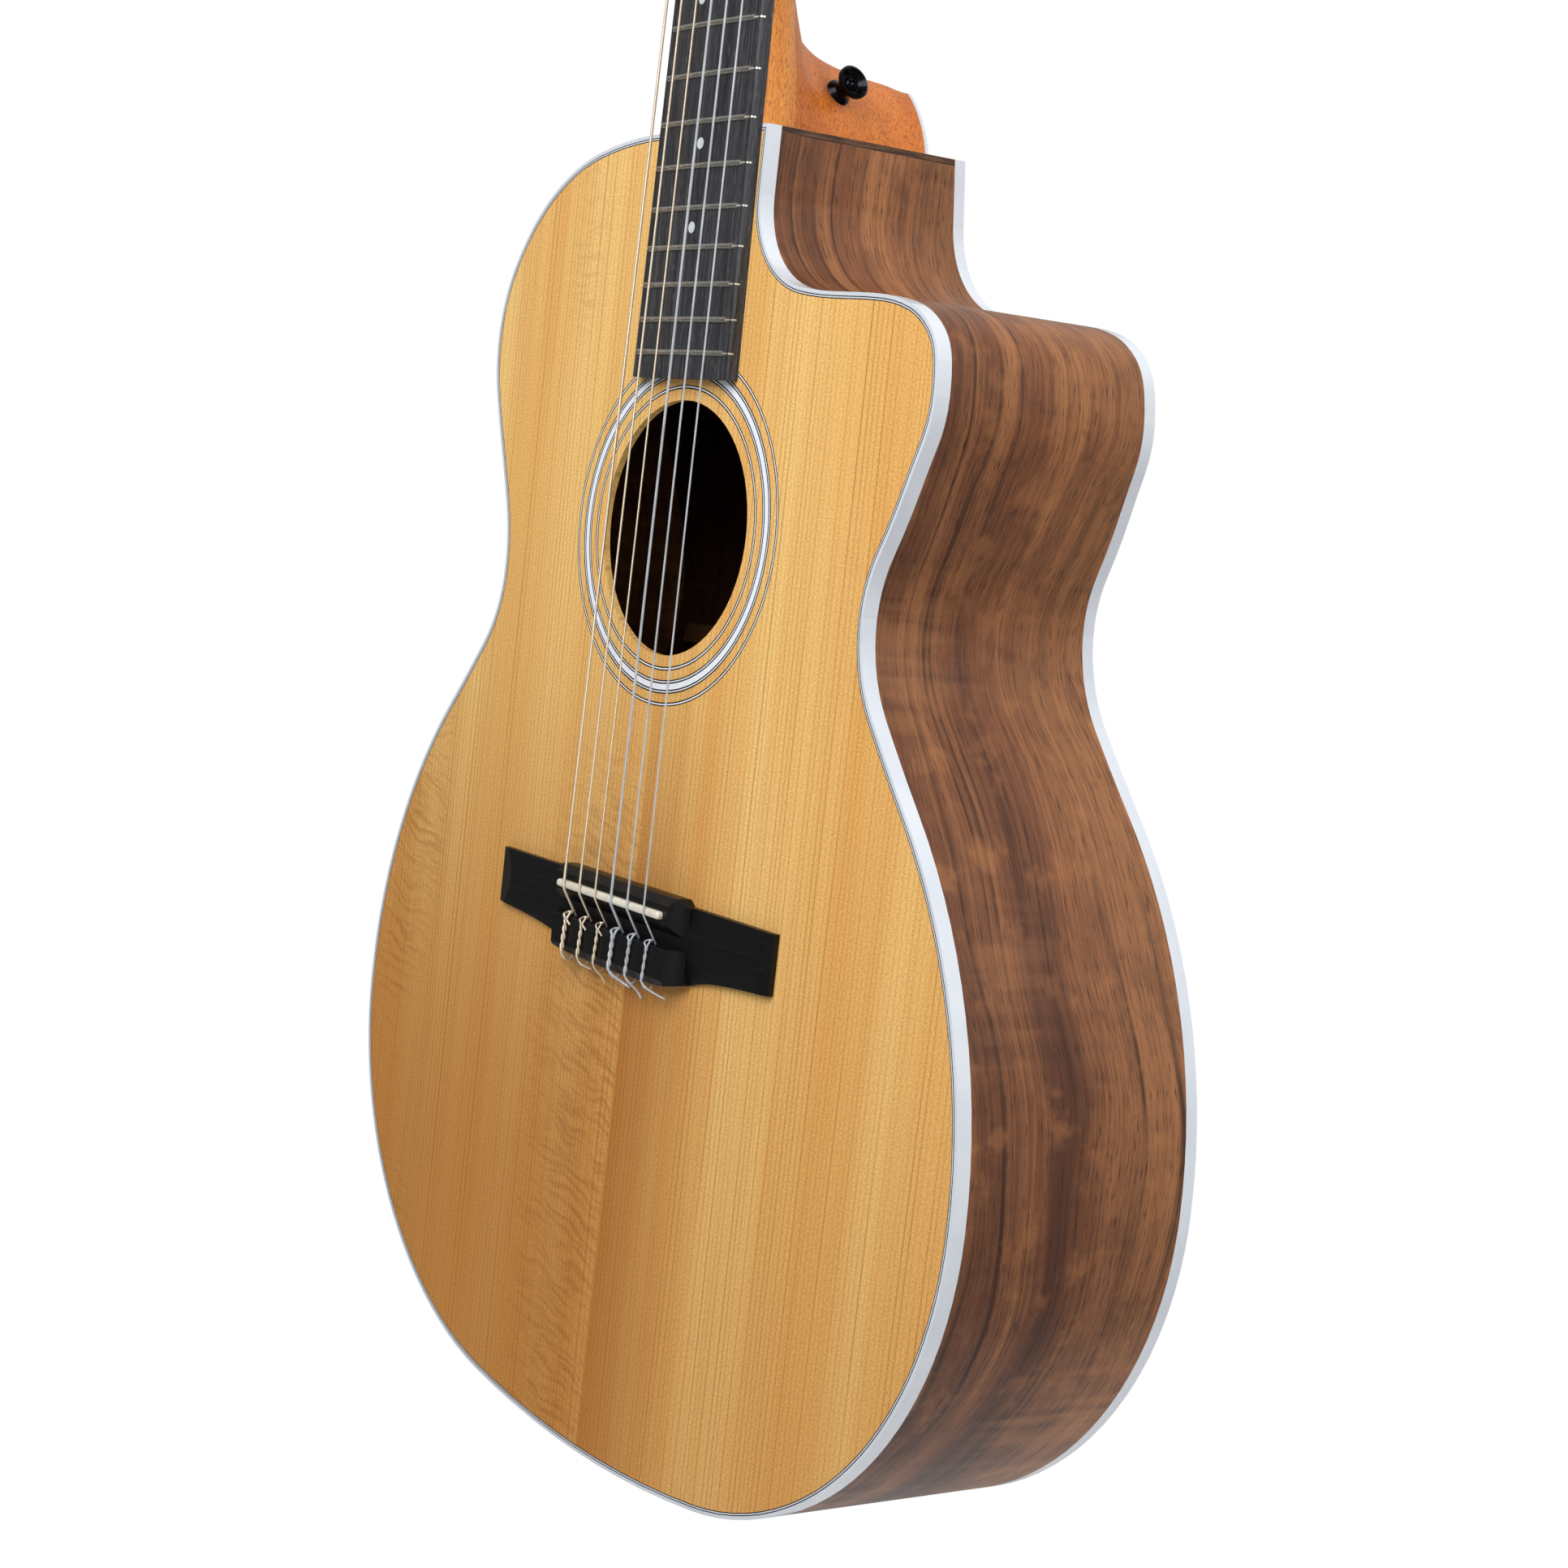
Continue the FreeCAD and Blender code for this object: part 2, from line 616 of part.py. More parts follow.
def make_board_and_frets():
    blank = make_fretboard_blank()
    frets, tangs = [], []
    for number in range(1, FRETS + 1):
        z = fret_station(number)
        tang = swept_over_board(fret_tang(z), half_width(z) + 1).common(blank)
        crown = swept_over_board(fret_crown(z), half_width(z) - size("fret_end_inset"))
        tangs.append(tang)
        frets.append(crown.fuse(tang))
    markers = []
    places = [(n, 0.0) for n in (3, 5, 7, 9, 15, 17)] + [(12, -9.0), (12, 9.0)]
    for number, x in places:
        z = (fret_station(number) + fret_station(number - 1)) / 2
        dot = rod((x, -BOARD - 1, z), (x, -BOARD + size("marker_depth"), z),
                  size("marker_diameter") / 2)
        markers.append(dot.common(blank))
    board = blank.cut(tangs + markers)
    return board, Part.makeCompound(frets), Part.makeCompound(markers)


board, frets, markers = make_board_and_frets()
feature("fretboard", board)
feature("frets", frets)
feature("fret_markers", markers)

# ------------------------------------------------------------------ strings
STRING_DIAMETERS = [1.09, 0.89, 0.74, 1.02, 0.82, 0.71]     # sixth string to first
SADDLE_Z = -size("saddle_station")


def spread(index, width):
    return width * (index / 5 - 0.5)


def tube(points, radius, bend):
    """A round rod along straight runs joined by tangent arcs."""
    points = [Vector(*p) for p in points]
    edges, here = [], points[0]
    for before, corner, after in zip(points, points[1:], points[2:]):
        into, out = (corner - before).normalize(), (after - corner).normalize()
        turn = into.getAngle(out)
        cut = bend * math.tan(turn / 2)
        start, end = corner - into * cut, corner + out * cut
        inward = (out - into).normalize()
        middle = corner + inward * (bend / math.cos(turn / 2) - bend)
        edges += [Part.makeLine(here, start), Part.Arc(start, middle, end).toShape()]
        here = end
    edges.append(Part.makeLine(here, points[-1]))
    path = Part.Wire(edges)
    first = (points[1] - points[0]).normalize()
    section = Part.Wire(Part.makeCircle(radius, points[0], first))
    return path.makePipeShell([section], True, False)


def head_point(x, y, z):
    return HEAD.multVec(Vector(x, y, z))


def roller_x(index):
    """Where a string meets its roller, about the middle of the slot."""
    return math.copysign(17.0, spread(index, 1))


def roller_of(index):
    """The roller that a string winds onto: outer strings nearest the nut."""
    return ROLLER_STATIONS[min(index, 5 - index)]


def string_at_saddle(index):
    """Where a string crosses the saddle; the six sit a little towards the bass side."""
    return spread(index, size("string_spread_saddle")) + size("string_offset_saddle")


def string_points(index):
    radius = STRING_DIAMETERS[index] / 2
    at_saddle = string_at_saddle(index)
    at_nut = spread(index, size("string_spread_nut"))
    height = size("tie_hole_height")
    end = head_point(roller_x(index), AXIS_DEPTH - size("roller_diameter") / 2 - GAP - radius,
                     roller_of(index))
    return [(at_saddle, -height, -size("bridge_low_station") - 1.0),
            (at_saddle, -height, SADDLE_Z - 12.6),
            (at_saddle, -size("string_height_saddle"), SADDLE_Z - 0.9),
            (at_nut, -size("string_height_nut"), size("nut_length") / 2),
            tuple(end)]


for index, diameter in enumerate(STRING_DIAMETERS):
    feature("string_%d" % (6 - index), tube(string_points(index), diameter / 2, 3.0))


# ------------------------------------------------------------------ nut, saddle and bridge
def make_nut():
    """A bone block with one groove for each string."""
    half, length, height = half_width(0), size("nut_length"), size("nut_height")
    block = box(-half, half, -height, 0, 0, length)
    top = [e for e in block.Edges if abs(e.BoundBox.YMin + height) < 0.01
           and abs(e.BoundBox.YMax + height) < 0.01 and e.BoundBox.XLength > 10]
    block = block.makeFillet(1.2, top)
    for index, diameter in enumerate(STRING_DIAMETERS):
        x, radius = spread(index, size("string_spread_nut")), diameter / 2 + 0.06
        points = string_points(index)
        block = block.cut(tube([points[2], points[3], points[4]], radius, 3.0))
        block = block.cut(box(x - radius, x + radius, -height - 2, -size("string_height_nut"),
                              -1, length + 1))
    return block


# the lower edge of the bridge, from its middle to the wing tip: half length and rise
BRIDGE_EDGE = [(0, 0), (20, 0.6), (40, 2.0), (51.5, 5.2), (66, 7.6), (80, 8.9),
               (size("bridge_half_length"), 9.8)]


def bridge_plan(front):
    """The outline of the bridge, its straight front edge at the given station."""
    low, tip = -size("bridge_low_station"), size("bridge_half_length")
    right = [Vector(x, 0, low + rise) for x, rise in BRIDGE_EDGE]
    left = [Vector(-p.x, 0, p.z) for p in right[:0:-1]]
    edge = Part.BSplineCurve()
    edge.interpolate(left + right)
    corners = [right[-1], Vector(tip, 0, front), Vector(-tip, 0, front), left[0]]
    return Part.Face(Part.Wire([edge.toShape()] + list(Part.makePolygon(corners).Edges)))


def bridge_wings(top):
    """Thin wings with a crowned face, cut down to a slanted facet at each tip."""
    tip, thick, crown = size("bridge_half_length"), size("wing_thickness"), size("wing_crown_radius")
    wings = bridge_plan(top).extrude(Vector(0, -thick, 0))
    dome = Part.makeCylinder(crown, 2 * tip, Vector(-tip, crown - thick, top - 11.5), Vector(1, 0, 0))
    wings = wings.common(dome)
    for side in (-1, 1):
        facet = polygon_face([(side * (tip - 9.5), -thick, top + 5), (side * (tip + 1), -2.0, top + 5),
                              (side * (tip + 1), -9.0, top + 5), (side * (tip - 9.5), -9.0, top + 5)])
        wings = wings.cut(facet.extrude(Vector(0, 0, -60)))
    return wings


def make_bridge():
    """Wings, a raised block with the saddle slot, the string channel and the tie block."""
    top, low = -size("bridge_top_station"), -size("bridge_low_station")
    height, half = size("bridge_height"), size("bridge_block_half")
    rear = top - 7.5
    profile = [(0, top + 2.2), (-4.0, top + 2.5), (-6.5, top + 2.2), (-height, top - 0.8),
               (-height, rear), (-3.2, rear - 5), (-3.2, top - 16.8), (-height + 0.4, top - 16.8),
               (-height, top - 17.4), (-height, low + 3.5), (-7.0, low - 1), (0, low - 1)]
    middle = size("bridge_block_offset")
    block = polygon_face([(middle - half, y, z) for y, z in profile]).extrude(Vector(2 * half, 0, 0))
    block = block.common(bridge_plan(top + 5).extrude(Vector(0, -30, 0)))
    scoop, step = size("bridge_scoop_radius"), size("bridge_step_half")
    for side in (-1, 1):
        start = Vector(middle + side * half, -size("wing_thickness") - scoop, top + 10)
        block = block.cut(Part.makeCylinder(scoop, 80, start, Vector(0, 0, -1)))
        # the raised block stands in front of the wings only between its two slanted corners
        corner = [(middle + side * (step - 2), 1, top + 3), (middle + side * (step + 2), 1, top),
                  (middle + side * (half + 2), 1, top), (middle + side * (half + 2), 1, top + 3)]
        block = block.cut(polygon_face(corner).extrude(Vector(0, -30, 0)))
    bridge = bridge_wings(top).fuse(block).cut(saddle_blank(-30))
    for index, diameter in enumerate(STRING_DIAMETERS):
        x = string_at_saddle(index)
        bridge = bridge.cut(rod((x, -size("tie_hole_height"), low - 5),
                                (x, -size("tie_hole_height"), top - 15), diameter / 2 + 0.3))
    return bridge.removeSplitter()


def saddle_blank(top):
    """A strip with round ends, from the bottom of its slot to the given height."""
    half, thick = size("saddle_half"), size("saddle_thickness") / 2
    middle = size("bridge_block_offset")
    strip = box(middle - half, middle + half, top, -size("saddle_bottom"),
                SADDLE_Z - thick, SADDLE_Z + thick)
    return strip.makeFillet(1.4, [e for e in strip.Edges if e.BoundBox.YLength > 1])


def make_saddle():
    """A bone strip with a rounded crest."""
    strip = saddle_blank(-size("saddle_top"))
    return strip.makeFillet(1.2, [e for e in strip.Edges
                                  if e.BoundBox.YMax < -size("saddle_top") + 0.01])


feature("nut", make_nut())
feature("bridge", make_bridge())
feature("saddle", make_saddle())


# ------------------------------------------------------------------ headstock veneer
def make_veneer():
    plate = head_face().extrude(Vector(0, -size("veneer_thickness"), 0))
    return plate.cut(head_slots(-size("veneer_thickness") - 1, 1))


feature("headstock_veneer", make_veneer(), HEAD)


# ------------------------------------------------------------------ tuners
PLATE = size("plate_thickness")
PLATE_OUT = HEAD_HALF + PLATE
GEAR_IN = PLATE_OUT + 0.5
GEAR_OUT = GEAR_IN + size("gear_thickness")
WORM_X = (GEAR_IN + GEAR_OUT) / 2
LUGS = [(2.2, 3.8), (15.2, 16.8)]        # where each pair of lugs stands in the head's thickness
BUTTON_START = 22.5


def mirrored(shape, side):
    """The shape itself, or its mirror image for the bass side."""
    return shape if side > 0 else shape.mirror(Vector(0, 0, 0), Vector(1, 0, 0))


def make_plate(side):
    """A tuner plate with the lugs that carry the three worm shafts."""
    stations = screw_stations()
    half = size("plate_width") / 2
    plate = box(HEAD_HALF, PLATE_OUT, AXIS_DEPTH - half, AXIS_DEPTH + half,
                stations[0] - 5, stations[-1] + 5)
    corners = [e for e in plate.Edges if e.BoundBox.XLength > 1]
    plate = plate.makeFillet(4.0, corners)
    for station in ROLLER_STATIONS:
        worm_z = station + size("worm_offset")
        for y0, y1 in LUGS:
            lug = box(HEAD_HALF + 0.2, WORM_X, y0, y1, worm_z - 3.2, worm_z + 3.2)
            lug = lug.fuse(rod((WORM_X, y0, worm_z), (WORM_X, y1, worm_z), 3.2))
            plate = plate.fuse(lug)
        plate = plate.cut(rod((WORM_X, 0, worm_z), (WORM_X, 19, worm_z),
                              size("worm_shaft_radius") + GAP))
        # a shallow hollow that the worm's thread turns in
        plate = plate.cut(rod((WORM_X, LUGS[0][1] + GAP, worm_z), (WORM_X, LUGS[1][0] - GAP, worm_z),
                              size("worm_room_radius")))
        plate = plate.cut(rod((HEAD_HALF - 1, AXIS_DEPTH, station),
                              (PLATE_OUT + 0.1, AXIS_DEPTH, station), NECK_JOURNAL + GAP))
    for station in stations:
        plate = plate.cut(rod((HEAD_HALF - 1, AXIS_DEPTH, station),
                              (PLATE_OUT + 1, AXIS_DEPTH, station), 1.4))
    return mirrored(plate.removeSplitter(), side)


def make_plate_screws():
    """Round-headed wood screws, with a cross slot, that hold both plates."""
    screws = []
    for side in (-1, 1):
        for station in screw_stations():
            shank = rod((HEAD_HALF - 8.5, AXIS_DEPTH, station), (PLATE_OUT, AXIS_DEPTH, station), 1.15)
            head = Part.makeSphere(3.4, Vector(PLATE_OUT - 2.0, AXIS_DEPTH, station))
            head = head.common(box(PLATE_OUT, PLATE_OUT + 5, 0, 30, station - 9, station + 9))
            screw = shank.fuse(head)
            for length, width in ((3.4, 0.6), (0.6, 3.4)):
                screw = screw.cut(box(PLATE_OUT + 0.7, PLATE_OUT + 3, AXIS_DEPTH - length / 2,
                                      AXIS_DEPTH + length / 2, station - width / 2,
                                      station + width / 2))
            screws.append(mirrored(screw, side))
    return Part.makeCompound(screws)


def make_roller(label, side, station):
    """The string roller, turned to three diameters, with the hole for its string."""
    body = new_body(label)
    sketch = new_sketch(body, "XY_Plane")
    inner, outer = size("slot_inner") + 0.4, size("slot_outer") - 0.4
    big = size("roller_diameter") / 2
    steps = [(3.5, 0), (3.5, JOURNAL), (inner, JOURNAL), (inner, big), (outer, big),
             (outer, NECK_JOURNAL), (GEAR_IN, NECK_JOURNAL), (GEAR_IN, 2.5), (GEAR_OUT, 2.5),
             (GEAR_OUT, 0)]
    add_wire(sketch, [(side * x, radius) for x, radius in steps])
    add_revolution(body, sketch)
    hole = new_sketch(body, "XY_Plane", "StringHole")
    add_circle(hole, side * 13.0, 0, "0.9 mm")
    pocket = body.newObject("PartDesign::Pocket", "Hole")
    pocket.Profile = hole
    pocket.Type = "ThroughAll"
    pocket.Midplane = True
    body.Tip = pocket
    doc.recompute()
    place = HEAD.multiply(Placement(Vector(0, AXIS_DEPTH, station), Rotation()))
    return keep(body, label, place)


def make_gear(label, side, station):
    """The worm wheel on the roller's end, held by a slotted screw."""
    outer, root = size("gear_outer_radius"), size("gear_root_radius")
    teeth = int(size("gear_teeth"))
    points = []
    for k in range(teeth):
        for part, radius in ((-0.30, root), (-0.14, outer), (0.14, outer), (0.30, root)):
            turn = 2 * math.pi * (k + part) / teeth
            points.append((GEAR_IN, AXIS_DEPTH + radius * math.cos(turn),
                           station + radius * math.sin(turn)))
    wheel = polygon_face(points).extrude(Vector(size("gear_thickness"), 0, 0))
    hub = rod((GEAR_IN - 1, AXIS_DEPTH, station), (GEAR_OUT + 1, AXIS_DEPTH, station), 2.5)
    wheel = mirrored(wheel.cut(hub), side)
    head = mirrored(rod((GEAR_OUT, AXIS_DEPTH, station), (GEAR_OUT + 1.5, AXIS_DEPTH, station), 3.2), side)
    slot = mirrored(box(GEAR_OUT + 0.7, GEAR_OUT + 3, AXIS_DEPTH - 4, AXIS_DEPTH + 4,
                        station - 0.4, station + 0.4), side)
    return feature(label, Part.makeCompound([wheel, head.cut(slot)]), HEAD)


def make_worm_shaft(label, side, station):
    """The worm's core on its shaft, turned about the head's thickness."""
    body = new_body(label)
    sketch = new_sketch(body, "YZ_Plane")
    thin, core = size("worm_shaft_radius"), size("worm_core_radius")
    low, high = LUGS[0][1] + GAP, LUGS[1][0] - GAP
    steps = [(1.0, 0), (1.0, 2.2), (LUGS[0][0] - GAP, 2.2), (LUGS[0][0] - GAP, thin), (low, thin),
             (low, core), (high, core), (high, thin), (LUGS[1][1] + GAP, thin),
             (LUGS[1][1] + GAP, 2.4), (LUGS[1][1] + 1.5, 2.4), (LUGS[1][1] + 1.5, 1.9),
             (27.0, 1.9), (27.0, 0)]
    add_wire(sketch, steps)
    add_revolution(body, sketch)
    place = HEAD.multiply(Placement(Vector(side * WORM_X, 0, station + size("worm_offset")),
                                    Rotation()))
    return keep(body, label, place)


def make_button(label, side, station):
    """An oval knob, thicker in the middle, pushed onto the worm shaft."""
    length, width, thick = (size("button_" + name) for name in ("length", "width", "thick"))
    sections = []
    for y, share in ((0, 0.52), (1.2, 0.70), (4.0, 0.93), (8.0, 1.0), (12.0, 0.90), (14.2, 0.66),
                     (length, 0.40)):
        half_long, half_short = share * width / 2, share * thick / 2
        oval = Part.Ellipse(Vector(0, y, half_long), Vector(half_short, y, 0), Vector(0, y, 0))
        sections.append(Part.Wire(oval.toShape()))
    knob = Part.makeLoft(sections, True, False)
    knob = knob.cut(rod((0, -1, 0), (0, 27.0 - BUTTON_START, 0), 1.9))
    place = HEAD.multiply(Placement(Vector(side * WORM_X, BUTTON_START,
                                           station + size("worm_offset")), Rotation()))
    return feature(label, knob, place)


feature("tuner_plate_bass", make_plate(-1), HEAD)
feature("tuner_plate_treble", make_plate(1), HEAD)
feature("tuner_plate_screws", make_plate_screws(), HEAD)
for index in range(6):
    number, side, station = 6 - index, (-1 if index < 3 else 1), roller_of(index)
    make_roller("string_roller_%d" % number, side, station)
    make_gear("worm_gear_%d" % number, side, station)
    make_worm_shaft("worm_shaft_%d" % number, side, station)
    make_button("tuner_button_%d" % number, side, station)


# ------------------------------------------------------------------ strap buttons
def strap_button(base, outward):
    """A flared button with a dished face, and the screw through it."""
    head, height = size("strap_head_radius"), size("strap_height")
    profile = [(0, 0), (5.2, 0), (5.2, 1.2), (3.3, 3.4), (3.1, 5.0), (4.6, 7.2), (head, height - 1.8),
               (head, height - 0.6), (head - 0.9, height), (3.4, height - 2.4), (0, height - 2.4)]
    face = polygon_face([(radius, 0, up) for radius, up in profile])
    button = face.revolve(Vector(0, 0, 0), Vector(0, 0, 1), 360)
    seat = height - 2.4
    shank = rod((0, 0, -16), (0, 0, seat), 1.9)
    screw_head = Part.makeSphere(3.4, Vector(0, 0, seat - 1.6))
    screw_head = screw_head.common(box(-5, 5, -5, 5, seat, seat + 5))
    screw = shank.fuse(screw_head)
    for x, y in ((2.0, 0.35), (0.35, 2.0)):
        screw = screw.cut(box(-x, x, -y, y, seat + 0.8, seat + 4))
    button = button.cut(shank)
    turn = Rotation(Vector(0, 0, 1), outward)
    for shape in (button, screw):
        shape.Placement = Placement(base, turn)
    return button, screw


def heel_flank_x(y, z):
    """How far out the heel's treble flank stands at a point."""
    probe = rod((0, y, z), (60, y, z), 0.05).common(heel)
    return probe.BoundBox.XMax


FLANK = heel_flank_x(BUTTON_SPOT.y, BUTTON_SPOT.z)
heel_axis = Vector(0.93, 0.03, 0.366).normalize()
# the flank leans towards the neck, so the button is let in until its rim meets it
heel_base = Vector(FLANK, BUTTON_SPOT.y, BUTTON_SPOT.z) - heel_axis * 1.4
tail_base = Vector(0, 52, BODY_END)
button_a, screw_a = strap_button(heel_base, heel_axis)
button_b, screw_b = strap_button(tail_base, Vector(0, 0, -1))
heel = heel.cut([button_a, screw_a])
feature("heel_block", heel)
feature("heel_cap", heel_cap)
for node in NODES:
    if node.Label in ("side_bass", "side_treble", "tail_block"):
        node.Shape = node.Shape.cut(screw_b)
feature("strap_buttons", Part.makeCompound([button_a, button_b]))
feature("strap_button_screws", Part.makeCompound([screw_a, screw_b]))


# ------------------------------------------------------------------ check and write
doc.recompute()
for obj in doc.Objects:
    if "Invalid" in obj.State or "Error" in obj.State:
        raise RuntimeError("%s did not recompute: %s" % (obj.Label, obj.State))
for node in NODES:
    shape = node.Shape
    if shape.isNull() or not shape.isValid() or shape.Volume <= 0:
        raise RuntimeError("%s has no valid solid" % node.Label)
for node in NODES:
    node.Shape.exportStep("parts/%s.step" % node.Label)
print("%d nodes written; heel button base at %s" % (len(NODES), tuple(round(c, 2) for c in heel_base)))
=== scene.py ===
"""Looks of a classical guitar with a cutaway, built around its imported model.

Everything is in metres in the model's frame: nut at z = 0, strings on the -Y side, treble at +X.
"""

import json
import math

import bpy
from mathutils import Matrix, Vector


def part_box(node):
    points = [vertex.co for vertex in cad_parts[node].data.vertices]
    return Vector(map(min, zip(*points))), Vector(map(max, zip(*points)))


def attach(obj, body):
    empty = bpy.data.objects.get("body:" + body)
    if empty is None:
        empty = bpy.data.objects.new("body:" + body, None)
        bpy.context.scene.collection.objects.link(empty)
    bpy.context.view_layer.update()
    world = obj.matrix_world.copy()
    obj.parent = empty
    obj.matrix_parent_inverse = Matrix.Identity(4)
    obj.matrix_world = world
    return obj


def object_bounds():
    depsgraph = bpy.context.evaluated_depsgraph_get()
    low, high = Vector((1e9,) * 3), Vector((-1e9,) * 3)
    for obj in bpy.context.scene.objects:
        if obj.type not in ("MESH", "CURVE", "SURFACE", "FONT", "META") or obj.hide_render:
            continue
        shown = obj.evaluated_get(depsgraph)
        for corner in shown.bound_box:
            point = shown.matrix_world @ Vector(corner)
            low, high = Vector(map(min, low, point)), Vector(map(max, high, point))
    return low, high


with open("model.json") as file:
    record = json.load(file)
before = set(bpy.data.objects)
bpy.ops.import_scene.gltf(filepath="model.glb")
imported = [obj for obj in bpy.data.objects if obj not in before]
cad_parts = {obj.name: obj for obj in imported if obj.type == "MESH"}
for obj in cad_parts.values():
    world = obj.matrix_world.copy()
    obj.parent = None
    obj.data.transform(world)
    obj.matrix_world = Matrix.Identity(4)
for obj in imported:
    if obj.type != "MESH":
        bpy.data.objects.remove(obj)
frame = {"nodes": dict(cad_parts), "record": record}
cad_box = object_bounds()
scene = bpy.context.scene
scene.view_settings.view_transform = "Standard"

# ------------------------------------------------------------------ camera
CAMERA_PLACE = (0.852795, -0.568707, -0.497615)
RIGHT = Vector((0.52270, 0.84636, 0.10228))
UP = Vector((-0.14560, -0.02958, 0.98890))
BACK = Vector((0.83999, -0.53179, 0.10777))
camera = bpy.data.objects.new("camera", bpy.data.cameras.new("camera"))
scene.collection.objects.link(camera)
turn = Matrix((RIGHT, UP, BACK)).transposed().to_4x4()
camera.matrix_world = Matrix.Translation(CAMERA_PLACE) @ turn
camera.data.lens = 62.53
camera.data.sensor_width = 36
camera.data.shift_x = 0.1296
camera.data.shift_y = 0.0013
camera.data.clip_start = 0.05
scene.camera = camera


# ------------------------------------------------------------------ material tools
def rgb(red, green, blue):
    """A colour given as it looks on a screen, 0 to 255, as the linear values that shaders use."""
    linear = []
    for value in (red, green, blue):
        value /= 255
        linear.append(value / 12.92 if value <= 0.04045 else ((value + 0.055) / 1.055) ** 2.4)
    return (*linear, 1.0)


class Look:
    """A procedural material and short names for the nodes that it is made of."""

    def __init__(self, name, **sockets):
        self.material = bpy.data.materials.new(name)
        self.material.use_nodes = True
        self.tree = self.material.node_tree
        self.tree.nodes.clear()
        output = self.node("ShaderNodeOutputMaterial")
        self.shader = self.node("ShaderNodeBsdfPrincipled")
        self.join(self.shader.outputs[0], output.inputs[0])
        self.place = self.node("ShaderNodeTexCoord").outputs["Object"]
        for socket, value in sockets.items():
            self.put(value, self.shader.inputs[socket.replace("_", " ")])

    def node(self, kind, **settings):
        made = self.tree.nodes.new(kind)
        for name, value in settings.items():
            setattr(made, name, value)
        return made

    def join(self, output, socket):
        self.tree.links.new(output, socket)

    def put(self, value, socket):
        if isinstance(value, bpy.types.NodeSocket):
            self.join(value, socket)
        else:
            socket.default_value = value

    def set(self, socket, value):
        self.put(value, self.shader.inputs[socket])
        return self

    def axes(self, source=None):
        """The x, y and z of a vector, or of the place on the object."""
        split = self.node("ShaderNodeSeparateXYZ")
        self.put(source or self.place, split.inputs[0])
        return split.outputs

    def vector(self, x, y, z):
        made = self.node("ShaderNodeCombineXYZ")
        for value, socket in zip((x, y, z), made.inputs):
            self.put(value, socket)
        return made.outputs[0]

    def stretched(self, x, y, z, source=None):
        """The place, each axis multiplied: how many features fit in a metre along it."""
        made = self.node("ShaderNodeVectorMath", operation="MULTIPLY")
        self.put(source or self.place, made.inputs[0])
        made.inputs[1].default_value = (x, y, z)
        return made.outputs[0]

    def math(self, operation, *values):
        made = self.node("ShaderNodeMath", operation=operation)
        for value, socket in zip(values, made.inputs):
            self.put(value, socket)
        return made.outputs[0]

    def noise(self, source, scale=1.0, detail=2.0, roughness=0.5):
        made = self.node("ShaderNodeTexNoise")
        self.put(source, made.inputs["Vector"])
        made.inputs["Scale"].default_value = scale
        made.inputs["Detail"].default_value = detail
        made.inputs["Roughness"].default_value = roughness
        return made.outputs["Fac"]

    def span(self, value, low, high, to_low=0.0, to_high=1.0, smooth=True):
        """The value taken from one range to another and held inside it."""
        made = self.node("ShaderNodeMapRange", interpolation_type="SMOOTHSTEP" if smooth else "LINEAR")
        for socket, number in zip(made.inputs, (value, low, high, to_low, to_high)):
            self.put(number, socket)
        return made.outputs[0]

    def ramp(self, value, stops, interpolation="LINEAR"):
        made = self.node("ShaderNodeValToRGB")
        made.color_ramp.interpolation = interpolation
        elements = made.color_ramp.elements
        while len(elements) < len(stops):
            elements.new(0.5)
        for element, (position, colour) in zip(elements, stops):
            element.position = position
            element.color = colour
        self.put(value, made.inputs[0])
        return made.outputs[0]

    def mix(self, share, first, second, blend="MIX"):
        made = self.node("ShaderNodeMix", data_type="RGBA", blend_type=blend)
        self.put(share, made.inputs[0])
        self.put(first, made.inputs[6])
        self.put(second, made.inputs[7])
        return made.outputs[2]

    def bump(self, height, depth, strength=1.0):
        made = self.node("ShaderNodeBump")
        made.inputs["Strength"].default_value = strength
        made.inputs["Distance"].default_value = depth
        self.put(height, made.inputs["Height"])
        self.join(made.outputs[0], self.shader.inputs["Normal"])
        return self


# ------------------------------------------------------------------ woods
GRAIN_PITCH = 0.0027


